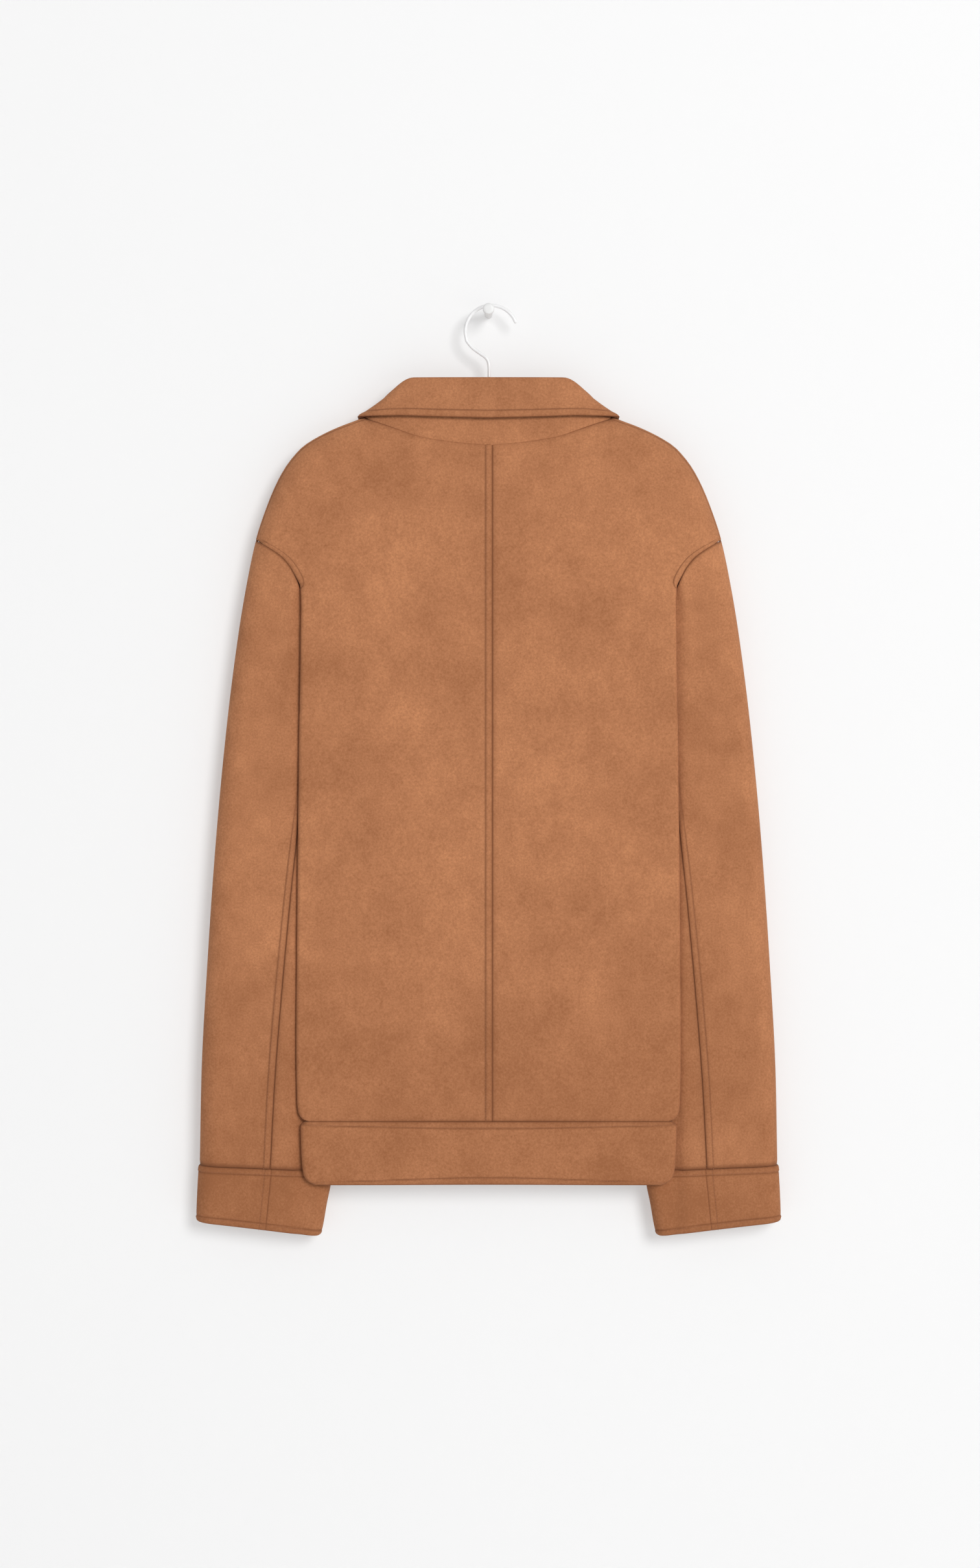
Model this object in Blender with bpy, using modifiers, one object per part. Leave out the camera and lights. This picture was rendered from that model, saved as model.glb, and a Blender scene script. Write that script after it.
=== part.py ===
"""A suede jacket hanging nearly flat on a hanger, whose hook sits on a wall peg.

Tables are in millimetres and objects in metres. x runs to the right seen from the jacket's back,
z up, and y into the wall, whose face is y = 0. z = 0 is the peg's axis. Each cloth piece is an open
surface, worked out from rows across the garment, that Solidify makes a wall.
"""

import math

import bpy
import numpy as np

MM = 0.001
SEAM_GAP = 0.32

# Wall thicknesses.
SUEDE = 1.4
FOLDED_SUEDE = 2.4
SEAM_LAP = SUEDE + SEAM_GAP

# Depths are measured from the middle plane, which holds the hanger, toward the back or toward the wall.
MIDDLE_Y = -22.0
BACK_DEPTH = 18.5
FRONT_DEPTH = 13.0
TUCK_DEPTH = 12.5
SLEEVE_DEPTH = 10.0
OUTER_SLEEVE_DEPTH = 13.0
SHOULDER_ROUND = 20.0

# Levels down the body.
ARMHOLE_TOP = -214.0
FOLD_TOP = -257.0
UNDERARM = -400.0
HEM_SEAM = -753.0
HEM_EDGE = -811.0
CUFF_SEAM_OUT = -795.0
CUFF_SEAM_IN = -800.0
CUFF_EDGE_OUT = -846.9
CUFF_EDGE_IN = -860.0

# The silhouette from the neck point to the cuff.
OUTLINE = {
    "z": [-97, -102.3, -108.3, -114.4, -120.4, -126.4, -132.5, -144.5, -162.7, -186.8, -214, -241, -295, -386,
          -495, -603, -712, -803, -870],
    "x": [112, 125, 140.4, 153.4, 164.2, 173, 179, 188.4, 198.3, 208, 216.8, 222.8, 232.2, 243.9,
          254.2, 261.7, 267.5, 269.3, 272.5],
}
# The seam where the collar joins: height at the back and at the front, and depth at each.
NECK = {
    "x": [0, 20, 42, 64, 85, 100, 110, 114],
    "z_back": [-125, -123.6, -121, -117, -110, -104.6, -101.2, -99.5],
    "z_front": [-150, -148, -142, -132, -119, -108.5, -102.5, -99.5],
    "d_back": [14, 13.9, 13.5, 12.8, 11.3, 8.5, 4.6, 0.0],
    "d_front": [9.8, 9.8, 9.8, 9.8, 9.4, 7.8, 4.4, 0.0],
}
# The body's side: x of the outer fold, and x of the seam or valley behind it.
SIDE = {
    "z": [-257, -275, -295, -320, -350, -385, -400, -440, -520, -600, -680, -735, -753, -757, -795,
          -804, -811],
    "fold": [174, 173, 173.4, 173.6, 174, 174.8, 175, 175.4, 176.3, 177, 177.6, 176.5, 170, 171.6, 171.6,
             169, 161],
    "valley": [171, 161, 150, 138, 122, 101, 92, 95, 101, 108, 117, 125, 128, 128, 133, 134, 135],
}
# The seam from the shoulder's end to the fold, as it shows on the back.
ARMHOLE = {
    "z": [-214, -216.5, -221.7, -229.8, -239.1, -248.7, -257],
    "x": [216.8, 211.5, 202.9, 191.5, 183.7, 178.3, 174],
}
# How far the cloth has turned round the fold by this height, in degrees.
FOLD_TURN = {"z": [-240, -249, -257, -264, -272], "angle": [0, 25, 80, 150, 180]}
VALLEY_TURN = {"z": [-372, -386, -394, -400.1], "angle": [0, 25, 60, 90]}
# Rows of the sleeve from armhole to cuff: both ends of each, and how much of the armhole's curve it keeps.
SLEEVE = {
    "z_out": [-214, -236, -262, -295, -335, -385, -445, -515, -590, -665, -735, -795],
    "z_in": [-400, -408, -420, -438, -463, -496, -538, -590, -645, -700, -752, -800],
    "x_in": [92, 97, 101, 105, 109, 114, 119.5, 126, 132.5, 138.5, 143.5, 147.5],
    "curve": [1, 0.85, 0.66, 0.46, 0.28, 0.13, 0.04, 0, 0, 0, 0, 0],
}
# The sleeve's seams, as shares of the way from its outer fold to its inner one.
# Rows of the shoulder, from the neck seam to the armhole's top: their heights at the centre and at the ridge.
SHOULDER_ROWS = {
    "back": [-125, -134, -145, -159, -177, -196, -214],
    "front": [-150, -156, -164, -174, -187, -200, -214],
    "ridge": [-99.5, -106, -116, -131, -154, -183, -214],
}
# Levels of the body below them.
BODY_LEVELS = [-217, -223, -231, -240, -249, -256.8, -264, -272, -286, -305, -330, -355, -375, -388, -395,
               -400, -404, -425, -470, -530, -600, -680, -730, -745]
# The cuff's folded edges, at shares of the way from its seam to its edge, and the columns across it.
CUFF = {
    "share": [0, 0.18, 0.5, 0.93, 0.97, 1.0],
    "inner": [146.8, 147.8, 151.6, 156.4, 157.4, 159.5],
    "outer": [268.8, 269.4, 270.3, 271.0, 270.6, 269.0],
}
CUFF_STATIONS = [0.0, 0.015, 0.05, 0.11, 0.2, 0.35, 0.5, 0.65, 0.8, 0.89, 0.95, 0.985, 1.0]
CUFF_TUCK_DEPTH = 9.2
CUFF_OUTER_RISE = 2.4
# The sleeve's two long seams, as shares of the way from its outer to its inner fold, and half their gap.
BACK_SEAM_SHARE = 0.545
FRONT_SEAM_SHARE = 0.8
SEAM_SHARE_GAP = 0.0019
# Where a sleeve rises from the tuck to its full outer depth.
RISE_START_X = 177.0
RISE_WIDTH = 16.0

CENTRE_BACK_X = 3.5
LAP_LEFT_X = 14.0
LAP_RIGHT_X = -15.0
LAP_DEPTH = 2.6
BAND_LAP = 1.25
BAND_SEAM_GAP = 0.46
CUFF_SEAM_GAP = 0.24
ARMHOLE_DROP = 0.8
TURN_GAP = 1.62
LAP_STEP_START = 17.0
LAP_STEP_END = 36.0

# The collar from centre back to centre front: its roll line and the fall's lower edge.
COLLAR = {
    "share": [0, 0.14, 0.28, 0.4, 0.5, 0.62, 0.76, 0.9, 1.0],
    "roll_x": [0, 36, 69, 88, 98, 92, 66, 32, 5],
    "roll_z": [-64, -64, -64, -75, -86, -93, -102, -110, -114],
    "roll_d": [12, 11.8, 10.5, 7, 0, -7.6, -10.4, -11, -11],
    "fall_x": [0, 42, 85, 112, 121.5, 117, 98, 72, 50],
    "fall_z": [-101, -100, -98.6, -98.4, -98.3, -110.8, -134, -158, -172],
    "fall_d": [18.4, 18.0, 16.2, 10.5, 0, -10.5, -15.6, -16.4, -16.2],
}
COLLAR_ROLL_RADIUS = 2.0
STAND_TOP_DROP = 3.0
STAND_UPRIGHT = 3.0
STAND_GAP = 2.3

BUTTON_RADIUS = 9.0
BUTTON_THICKNESS = 2.6
BUTTON_COUNT = 6
BUTTON_BEVEL = 0.7
BUTTON_CLEAR = 0.5
BUTTON_CLEAR_BAND = 1.7
FIRST_BUTTON_Z = -205.0
LAST_BUTTON_Z = -782.0

# Hanger and peg.
ARM_RADIUS = 5.5
ARM_PATH = [(0, -96), (30, -98), (62, -103), (95, -110), (125, -118), (152, -132), (174, -152), (188, -174)]
WIRE_RADIUS = 1.65
HOOK_CENTRE = (2.6, -18.6)
HOOK_RADIUS = 24.2
HOOK_END_ANGLE = 21.6
HOOK_START_ANGLE = 205.0
HOOK_STEM = [(-14.8, -34.0), (-7.8, -39.2), (-2.0, -43.6), (0.5, -50.0), (0.7, -62.0), (0.7, -90.1)]
PEG_RADIUS = 3.45
PEG_HEAD_RADIUS = 5.3
PEG_LENGTH = 40.0
PEG_HEAD_LENGTH = 7.0

COLOURS = {
    "suede": ((0.45, 0.21, 0.10), 0.95),
    "white_plastic": ((0.85, 0.85, 0.84), 0.25),
    "painted_peg": ((0.82, 0.82, 0.81), 0.4),
    "button_horn": ((0.12, 0.06, 0.03), 0.35),
}


def at(table, key, value, column):
    """The column's value where key has this value, along a smooth curve through the rows."""
    keys = np.array(table[key], float)
    values = np.array(table[column], float)
    if keys[0] > keys[-1]:
        keys, values = keys[::-1], values[::-1]
    slopes = np.diff(values) / np.diff(keys)
    total = slopes[1:] + slopes[:-1] + 1e-12
    inner = np.where(slopes[1:] * slopes[:-1] > 0, 2 * slopes[1:] * slopes[:-1] / total, 0)
    tangents = np.concatenate([slopes[:1], inner, slopes[-1:]])
    value = min(max(value, keys[0]), keys[-1])
    i = min(int(np.searchsorted(keys, value, "right")) - 1, len(keys) - 2)
    width = keys[i + 1] - keys[i]
    t = (value - keys[i]) / width
    return float(
        values[i] * (1 + 2 * t) * (1 - t) ** 2
        + values[i + 1] * t * t * (3 - 2 * t)
        + width * (tangents[i] * t * (1 - t) ** 2 - tangents[i + 1] * t * t * (1 - t))
    )


def outline_points():
    heights = np.concatenate([np.linspace(-97, -240, 90), np.linspace(-242, -870, 90)])
    return np.array([(at(OUTLINE, "z", z, "x"), z) for z in heights])


SILHOUETTE = outline_points()


def rounding(distance, radius):
    """0 at an edge, rising as a quarter circle to 1 at the radius."""
    inside = min(max(distance / radius, 0), 1)
    return math.sqrt(1 - (1 - inside) ** 2)


def from_outline(x, z):
    """How far a point is inside the silhouette."""
    return float(np.min(np.hypot(SILHOUETTE[:, 0] - x, SILHOUETTE[:, 1] - z)))


def smooth_step(value):
    value = min(max(value, 0), 1)
    return value * value * (3 - 2 * value)


def body_depth(x, z, back, inset=0.0):
    """The depth of the outer cloth, which thins toward the neck and rounds over to the shoulder's ridge."""
    neck = smooth_step((-z - 95) / 110)
    if back:
        full = 13.0 + (BACK_DEPTH - 13.0) * neck
    else:
        middle = 9.5 + (FRONT_DEPTH - 9.5) * neck
        sides = smooth_step((x - 60) / 80) * smooth_step((-z - 150) / 80)
        full = middle + (BACK_DEPTH - FRONT_DEPTH) * sides
    return full * rounding(from_outline(x, z) - inset, SHOULDER_ROUND)


def turned(start, heading, length, angle, steps):
    """Points that leave start along heading and turn by angle (degrees) over length."""
    points = []
    x, d = start
    for _ in range(steps):
        heading += math.radians(angle) / steps / 2
        x += length / steps * math.cos(heading)
        d += length / steps * math.sin(heading)
        heading += math.radians(angle) / steps / 2
        points.append((x, d))
    return points, heading


FACE_COLUMNS = 6
FOLD_COLUMNS = 5
STRIP_COLUMNS = 3
VALLEY_COLUMNS = 3
SIDE_COLUMNS = FOLD_COLUMNS + STRIP_COLUMNS + VALLEY_COLUMNS
# Above the fold, how far from the armhole seam the side columns start and how far the seam dips.
OPEN_SIDE = 9.0
OPEN_DIP = 4.0


def face_places(start_x, end_x):
    """Distances from the centre of the columns on the outer face, two of them at the lap's step."""
    return [start_x, LAP_STEP_START, LAP_STEP_END] + [
        LAP_STEP_END + (end_x - LAP_STEP_END) * share for share in (0.4, 0.75, 1)
    ]


def face_points(start_x, end_x, z, back, lift):
    places = face_places(start_x, end_x)
    return [(x, body_depth(x, z, back) + lift(x)) for x in places]


def no_lift(_x):
    return 0.0


def open_row(z, back, start_x, lift):
    """A level above the underarm fold, whose cloth ends at the armhole seam on the outer face."""
    edge = at(ARMHOLE, "z", z, "x")
    turn = at(FOLD_TURN, "z", z, "angle")
    points = face_points(start_x, edge - OPEN_SIDE, z, back, lift)
    for step in range(1, SIDE_COLUMNS + 1):
        share = step / SIDE_COLUMNS
        x = edge - OPEN_SIDE * (1 - share)
        points.append((x, body_depth(x, z, back) - OPEN_DIP * turn / 90 * share**2))
    return points, -math.radians(turn)


def body_row(z, back, start_x=0.0, lift=no_lift):
    """One level of half the body, as (x, depth) from the centre to the side's seam, and its last heading.

    The cloth runs out to the fold, back behind itself and, below the underarm, round the valley.
    """
    if z >= FOLD_TOP:
        return open_row(z, back, start_x, lift)
    turn = at(FOLD_TURN, "z", z, "angle")
    fold = at(SIDE, "z", z, "fold")
    edge = at(SIDE, "z", z, "valley")
    radius = (body_depth(fold - 3, z, back) - TUCK_DEPTH) / 2
    points = face_points(start_x, fold - radius, z, back, lift)
    curl, heading = turned(points[-1], 0.0, math.pi * radius, -turn, FOLD_COLUMNS)
    points += curl
    bend = at(VALLEY_TURN, "z", z, "angle")
    strip = max(points[-1][0] - edge, 3.0)
    valley = max(min(TUCK_DEPTH * math.pi / 2 * bend / 90, strip * 0.6), 2.0)
    curl_reach = valley * (1 - 0.36 * math.sin(math.radians(bend)))
    flat = (strip - curl_reach) / STRIP_COLUMNS
    for _ in range(STRIP_COLUMNS):
        x, d = points[-1]
        points.append((x + flat * math.cos(heading), d + flat * math.sin(heading)))
    curl, heading = turned(points[-1], heading, valley, bend, VALLEY_COLUMNS)
    return points + curl, heading


def neck_height(share, back):
    """How far the neck seam has risen toward the shoulder, 0 to 1, at this share of its width."""
    column = "z_back" if back else "z_front"
    low, high = NECK[column][0], NECK[column][-1]
    return (at(NECK, "x", share * NECK["x"][-1], column) - low) / (high - low)


def shoulder_row(index, back, start_x, lift):
    """A curved row from the centre to the shoulder seam, between the neck seam and the armhole's top."""
    low = SHOULDER_ROWS["back" if back else "front"][index]
    high = SHOULDER_ROWS["ridge"][index]
    ridge_x = at(OUTLINE, "z", high, "x") - SUEDE / 2
    places = face_places(start_x, ridge_x - SHOULDER_ROUND)
    points = []
    for step in range(FACE_COLUMNS + SIDE_COLUMNS):
        if step < FACE_COLUMNS:
            x = places[step]
        else:
            angle = (step - FACE_COLUMNS + 1) / SIDE_COLUMNS * math.pi / 2
            x = ridge_x - SHOULDER_ROUND * (1 - math.sin(angle))
        share = max(x, 0) / ridge_x
        z = low + (high - low) * neck_height(share, back)
        depth = neck_depth(x, back) if index == 0 else body_depth(x, z, back, SUEDE / 2)
        if index == 1:
            depth = (depth + neck_depth(x * 114 / ridge_x, back)) / 2
        points.append((x, max(depth + lift(x), SEAM_GAP * (1.5 if index > 1 else 3)), z))
    return points


def neck_depth(x, back):
    return at(NECK, "x", min(max(x, 0), 114), "d_back" if back else "d_front")


def place(x, depth, z, side, back):
    """World position in millimetres of a point given as distance from the centre, depth and height."""
    return (side * x, MIDDLE_Y - depth if back else MIDDLE_Y + depth, z)


def rim_inset(row, gap):
    """The row with its last point drawn back along the cloth, for the gap at a seam."""
    last, before = np.array(row[-1]), np.array(row[-2])
    step = last - before
    row[-1] = tuple(last - step / np.linalg.norm(step) * gap)
    return row


def body_panel(side, back, start_x, lift=no_lift):
    rows = []
    for index in range(len(SHOULDER_ROWS["back"])):
        rows.append(shoulder_row(index, back, start_x, lift))
    for z in BODY_LEVELS + [HEM_SEAM + BAND_SEAM_GAP]:
        points, _ = body_row(z, back, start_x, lift)
        row = rim_inset([(x, d, z) for x, d in points], SEAM_GAP / 2)
        if z < UNDERARM + 1:
            row[-1] = (row[-1][0], max(row[-1][1], SEAM_GAP * 1.4), z)
        rows.append(row)
    return [[place(x, d, z, side, back) for x, d, z in row] for row in rows]


def hem_panel(side, back, start_x, lift=no_lift):
    rows = []
    for z in (HEM_SEAM - BAND_SEAM_GAP, HEM_SEAM - 5, HEM_SEAM - 22, HEM_EDGE + 18, HEM_EDGE + 7, HEM_EDGE):
        points, _ = body_row(z, back, start_x, lift)
        row = [(x, d, z) for x, d in points]
        row[-1] = (row[-1][0], max(row[-1][1], SEAM_GAP * 2), z)
        rows.append([place(x, d, z, side, back) for x, d, z in row])
    return rows


def armhole(back):
    """The sleeve's first row from the shoulder to the underarm: (x, z, depth) just off the body's edge."""
    samples = [(at(OUTLINE, "z", ARMHOLE_TOP, "x") - SUEDE / 2, ARMHOLE_TOP - SEAM_GAP - ARMHOLE_DROP, 0.0)]
    for z in np.linspace(ARMHOLE_TOP - 0.6, UNDERARM, 120):
        points, heading = body_row(float(z), back)
        x, depth = points[-1]
        turn = -math.degrees(heading)
        bend = at(VALLEY_TURN, "z", z, "angle")
        if turn <= 90 and bend == 0:
            offset = SEAM_GAP + (TURN_GAP - SEAM_GAP) * math.sin(math.radians(turn))
            offset += 0.6 * smooth_step((z - ARMHOLE_TOP + 24) / 12)
            angle = 0.0
        else:
            offset = TURN_GAP + (SEAM_LAP - TURN_GAP) * min(1, (turn + bend - 90) / 90)
            offset += 1.1 * math.sin(math.radians(bend))
            angle = -math.radians(min(turn + bend, 180) - 90) * (1 - bend / 90)
        drop = ARMHOLE_DROP * smooth_step((z - ARMHOLE_TOP + 12) / 6)
        samples.append((x + offset * math.cos(angle), z - drop, max(depth + offset * math.sin(angle), 0.0)))
    samples.append((samples[-1][0], UNDERARM - 0.1, 0.0))
    samples = np.array(samples)
    steps = np.hypot(np.diff(samples[:, 0]), np.diff(samples[:, 1]))
    shares = np.concatenate([[0], np.cumsum(steps)]) / steps.sum()
    return shares, samples


ARMHOLES = {True: armhole(True), False: armhole(False)}
OUTER_BACK = (BACK_SEAM_SHARE - SEAM_SHARE_GAP, 0.43, 0.32, 0.22, 0.13, 0.06, 0.018)
OUTER_FRONT = (0.018, 0.06, 0.13, 0.22, 0.32, 0.43, 0.55, 0.67, FRONT_SEAM_SHARE - SEAM_SHARE_GAP)
UNDER_FRONT = (FRONT_SEAM_SHARE + SEAM_SHARE_GAP, 0.88, 0.94, 0.975, 0.993)
UNDER_BACK = (0.993, 0.975, 0.94, 0.88, 0.78, 0.66, BACK_SEAM_SHARE + SEAM_SHARE_GAP)
OUTER_STATIONS = [(True, f) for f in OUTER_BACK] + [(True, 0.0)] + [(False, f) for f in OUTER_FRONT]
UNDER_STATIONS = [(False, f) for f in UNDER_FRONT] + [(True, 1.0)] + [(True, f) for f in UNDER_BACK]


def sleeve_depth(x, z, inner_x, tuck_depth, outer_depth):
    full = tuck_depth + (outer_depth - tuck_depth) * smooth_step((x - RISE_START_X) / RISE_WIDTH)
    outer = rounding(from_outline(x, z) - SUEDE / 2, 16)
    inner = rounding(x - inner_x, tuck_depth)
    return full * min(outer, inner)


def sleeve_point(index, back, share):
    """(x, depth, z) on one row of the sleeve, at this share of the way from its outer to its inner fold."""
    z_out, z_in = SLEEVE["z_out"][index], SLEEVE["z_in"][index]
    x_out = at(OUTLINE, "z", z_out, "x") - SUEDE / 2
    x_in = SLEEVE["x_in"][index]
    keep = SLEEVE["curve"][index]
    shares, samples = ARMHOLES[back]
    top = np.array([np.interp(share, shares, samples[:, c]) for c in range(3)])
    if index == 0:
        return top[0], top[2], top[1]
    chord = samples[0] + share * (samples[-1] - samples[0])
    x = x_out + share * (x_in - x_out) + keep * (top[0] - chord[0])
    z = z_out + share * (z_in - z_out) + keep * (top[1] - chord[1])
    plain = sleeve_depth(x, z, x_in, SLEEVE_DEPTH, OUTER_SLEEVE_DEPTH)
    if share in (0.0, 1.0):
        return x, 0.0, z
    return x, keep * top[2] + (1 - keep) * plain, z


def sleeve_piece(side, stations):
    rows = []
    for index in range(len(SLEEVE["z_out"])):
        row = []
        for back, share in stations:
            x, depth, z = sleeve_point(index, back, share)
            if index == len(SLEEVE["z_out"]) - 1:
                z += CUFF_SEAM_GAP
            row.append(place(x, depth, z, side, back))
        rows.append(row)
    return rows


def cuff_rows(side):
    rows = []
    for index, share in enumerate(CUFF["share"]):
        z_out = CUFF_SEAM_OUT - CUFF_SEAM_GAP + (CUFF_EDGE_OUT - CUFF_SEAM_OUT) * share
        z_in = CUFF_SEAM_IN - CUFF_SEAM_GAP + (CUFF_EDGE_IN - CUFF_SEAM_IN) * share
        x_out, x_in = CUFF["outer"][index], CUFF["inner"][index]
        row = []
        for back, stations in ((True, CUFF_STATIONS), (False, CUFF_STATIONS[-2:0:-1])):
            for f in stations:
                x = x_out + f * (x_in - x_out)
                full = CUFF_TUCK_DEPTH + CUFF_OUTER_RISE * smooth_step((x - RISE_START_X) / RISE_WIDTH)
                depth = full * min(rounding(x_out - x, 15), rounding(x - x_in, CUFF_TUCK_DEPTH))
                row.append(place(x, depth, z_out + f * (z_in - z_out), side, back))
        rows.append(row)
    return rows


def signed(x, depth, z, side):
    return (side * x, MIDDLE_Y - depth, z)


def neck_point(share):
    """(x, depth toward the back, z) on the neck seam, from centre back at 0 to centre front at 1."""
    if share <= 0.5:
        x = NECK["x"][-1] * math.sin(share * math.pi)
        return x, neck_depth(x, True), at(NECK, "x", x, "z_back")
    x = NECK["x"][-1] * math.sin(share * math.pi)
    x = max(x, 1.0)
    return x, -neck_depth(x, False), at(NECK, "x", x, "z_front")


def collar_section(share):
    """The neck seam, the stand's top, the roll and the fall's edge at this share of the way round."""
    seam = np.array(neck_point(share))
    roll = np.array([at(COLLAR, "share", share, c) for c in ("roll_x", "roll_d", "roll_z")])
    edge = np.array([at(COLLAR, "share", share, c) for c in ("fall_x", "fall_d", "fall_z")])
    out = np.array([0.35 * math.sin(share * math.pi), math.cos(share * math.pi), 0])
    out = out / np.linalg.norm(out)
    up = np.array([0, 0, 1.0])
    crest = roll - up * COLLAR_ROLL_RADIUS
    inner_top = crest - out * COLLAR_ROLL_RADIUS
    return seam, inner_top - up * STAND_TOP_DROP, inner_top, crest, out, edge


COLLAR_SHARES = [0, 0.08, 0.16, 0.24, 0.31, 0.37, 0.43, 0.47, 0.5, 0.53, 0.58, 0.65, 0.74, 0.84, 0.93, 1.0]


def stand_rows():
    rows = []
    for side, shares in ((-1, COLLAR_SHARES[::-1]), (1, COLLAR_SHARES[1:])):
        for share in shares:
            seam, top, _, _, _, _ = collar_section(share)
            low = seam + np.array([0, 0, SEAM_GAP * 1.7 + FOLDED_SUEDE / 2 * 0.5])
            high = top - np.array([0, 0, STAND_GAP])
            bend = high - np.array([0, 0, STAND_UPRIGHT])
            row = [low + (bend - low) * t for t in (0, 0.33, 0.67, 1)] + [high]
            rows.append([signed(*point, side) for point in row])
    return rows


def fall_rows():
    rows = []
    for side, shares in ((-1, COLLAR_SHARES[::-1]), (1, COLLAR_SHARES[1:])):
        for share in shares:
            _, start, inner_top, crest, out, edge = collar_section(share)
            up = np.array([0, 0, 1.0])
            row = [start, inner_top]
            for angle in (135, 90, 45, 0):
                turn = math.radians(angle)
                row.append(crest + (out * math.cos(turn) + up * math.sin(turn)) * COLLAR_ROLL_RADIUS)
            outer = row[-1]
            for t in (0.35, 0.7, 1.0):
                row.append(outer + (edge - outer) * t)
            rows.append([signed(*point, side) for point in row])
    return rows


def material(name):
    colour, roughness = COLOURS[name]
    made = bpy.data.materials.get(name)
    if made is None:
        made = bpy.data.materials.new(name)
        made.use_nodes = True
        shader = made.node_tree.nodes["Principled BSDF"]
        shader.inputs["Base Color"].default_value = (*colour, 1)
        shader.inputs["Roughness"].default_value = roughness
    return made


def add(name, data, slot):
    obj = bpy.data.objects.new(name, data)
    data.materials.append(material(slot))
    bpy.data.collections["suede_jacket"].objects.link(obj)
    return obj


def cloth(name, rows, thickness, ring=False):
    """The surface through these rows, made a wall with Solidify. A ring's rows close on themselves."""
    width = len(rows[0])
    points = [np.array(point) * MM for row in rows for point in row]
    faces = []
    for r in range(len(rows) - 1):
        for c in range(width if ring else width - 1):
            a, b = r * width + c, r * width + (c + 1) % width
            faces.append((a, b, b + width, a + width))
    mesh = bpy.data.meshes.new(name)
    mesh.from_pydata([tuple(point) for point in points], [], faces)
    obj = add(name, mesh, "suede")
    wall = obj.modifiers.new("wall", "SOLIDIFY")
    wall.thickness = thickness * MM
    wall.offset = 0
    wall.use_even_offset = True
    wall.thickness_clamp = 0
    return obj


def tube(name, points, radius, slot, resolution):
    curve = bpy.data.curves.new(name, "CURVE")
    curve.dimensions = "3D"
    curve.bevel_depth = radius * MM
    curve.bevel_resolution = resolution
    curve.use_fill_caps = True
    spline = curve.splines.new("POLY")
    spline.points.add(len(points) - 1)
    for target, (x, z) in zip(spline.points, points):
        target.co = (x * MM, MIDDLE_Y * MM, z * MM, 1)
    return add(name, curve, slot)


def smooth_path(points, per_span):
    """Points read from a curve through these ones."""
    ends = [2 * np.array(points[0]) - np.array(points[1]), 2 * np.array(points[-1]) - np.array(points[-2])]
    through = [ends[0]] + [np.array(p, float) for p in points] + [ends[1]]
    path = []
    for i in range(1, len(through) - 2):
        p0, p1, p2, p3 = through[i - 1:i + 3]
        for k in range(per_span):
            t = k / per_span
            path.append(0.5 * (2 * p1 + (p2 - p0) * t + (2 * p0 - 5 * p1 + 4 * p2 - p3) * t**2
                               + (3 * p1 - p0 - 3 * p2 + p3) * t**3))
    return path + [np.array(points[-1], float)]


def hanger():
    half = ARM_PATH
    whole = [(-x, z) for x, z in half[:0:-1]] + half
    tube("hanger_arms", smooth_path(whole, 3), ARM_RADIUS, "white_plastic", 3)
    bow = []
    for degrees in np.arange(HOOK_END_ANGLE, HOOK_START_ANGLE, 14):
        angle = math.radians(degrees)
        bow.append((HOOK_CENTRE[0] + HOOK_RADIUS * math.cos(angle),
                    HOOK_CENTRE[1] + HOOK_RADIUS * math.sin(angle)))
    tube("hanger_hook", smooth_path(bow + HOOK_STEM, 2), WIRE_RADIUS, "white_plastic", 2)


def wall_peg():
    profile = [(0, 0), (PEG_RADIUS, 0), (PEG_RADIUS, PEG_HEAD_LENGTH - PEG_LENGTH),
               (PEG_HEAD_RADIUS, PEG_HEAD_LENGTH - PEG_LENGTH - 1.2), (PEG_HEAD_RADIUS, 1.2 - PEG_LENGTH),
               (PEG_HEAD_RADIUS - 1.2, -PEG_LENGTH), (0, -PEG_LENGTH)]
    mesh = bpy.data.meshes.new("wall_peg")
    edges = [(i, i + 1) for i in range(len(profile) - 1)]
    mesh.from_pydata([(r * MM, y * MM, 0) for r, y in profile], edges, [])
    obj = add("wall_peg", mesh, "painted_peg")
    screw = obj.modifiers.new("turned", "SCREW")
    screw.axis = "Y"
    screw.steps = screw.render_steps = 32
    screw.use_merge_vertices = True
    screw.merge_threshold = 0.00001
    screw.use_normal_flip = False


def lap_lift(x):
    """How far the left front stands out over the right one near the centre."""
    return LAP_DEPTH * (1 - smooth_step((x - LAP_STEP_START) / (LAP_STEP_END - LAP_STEP_START)))


def band_lift(x):
    """The same for the band, whose folded suede is thicker."""
    return lap_lift(x) * BAND_LAP


def buttons():
    depth = FRONT_DEPTH + LAP_DEPTH + SUEDE / 2 + SEAM_GAP + BUTTON_THICKNESS / 2
    for index in range(BUTTON_COUNT):
        z = FIRST_BUTTON_Z + (LAST_BUTTON_Z - FIRST_BUTTON_Z) * index / (BUTTON_COUNT - 1)
        bpy.ops.mesh.primitive_cylinder_add(vertices=24, radius=BUTTON_RADIUS * MM,
                                            depth=BUTTON_THICKNESS * MM, rotation=(math.pi / 2, 0, 0))
        obj = bpy.context.object
        obj.name = f"button_{index + 1}"
        clear = BUTTON_CLEAR_BAND if z < HEM_SEAM else BUTTON_CLEAR
        obj.location = (0, (MIDDLE_Y + depth + clear) * MM, z * MM)
        obj.data.materials.append(material("button_horn"))
        bevel = obj.modifiers.new("edge", "BEVEL")
        bevel.width = BUTTON_BEVEL * MM
        bevel.segments = 2
        for collection in obj.users_collection:
            collection.objects.unlink(obj)
        bpy.data.collections["suede_jacket"].objects.link(obj)


def joined_halves(left, right):
    """Rows across both sides from the left half's rows and the right half's, which share their centre."""
    return [row_left[::-1] + row_right[1:] for row_left, row_right in zip(left, right)]


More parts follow.
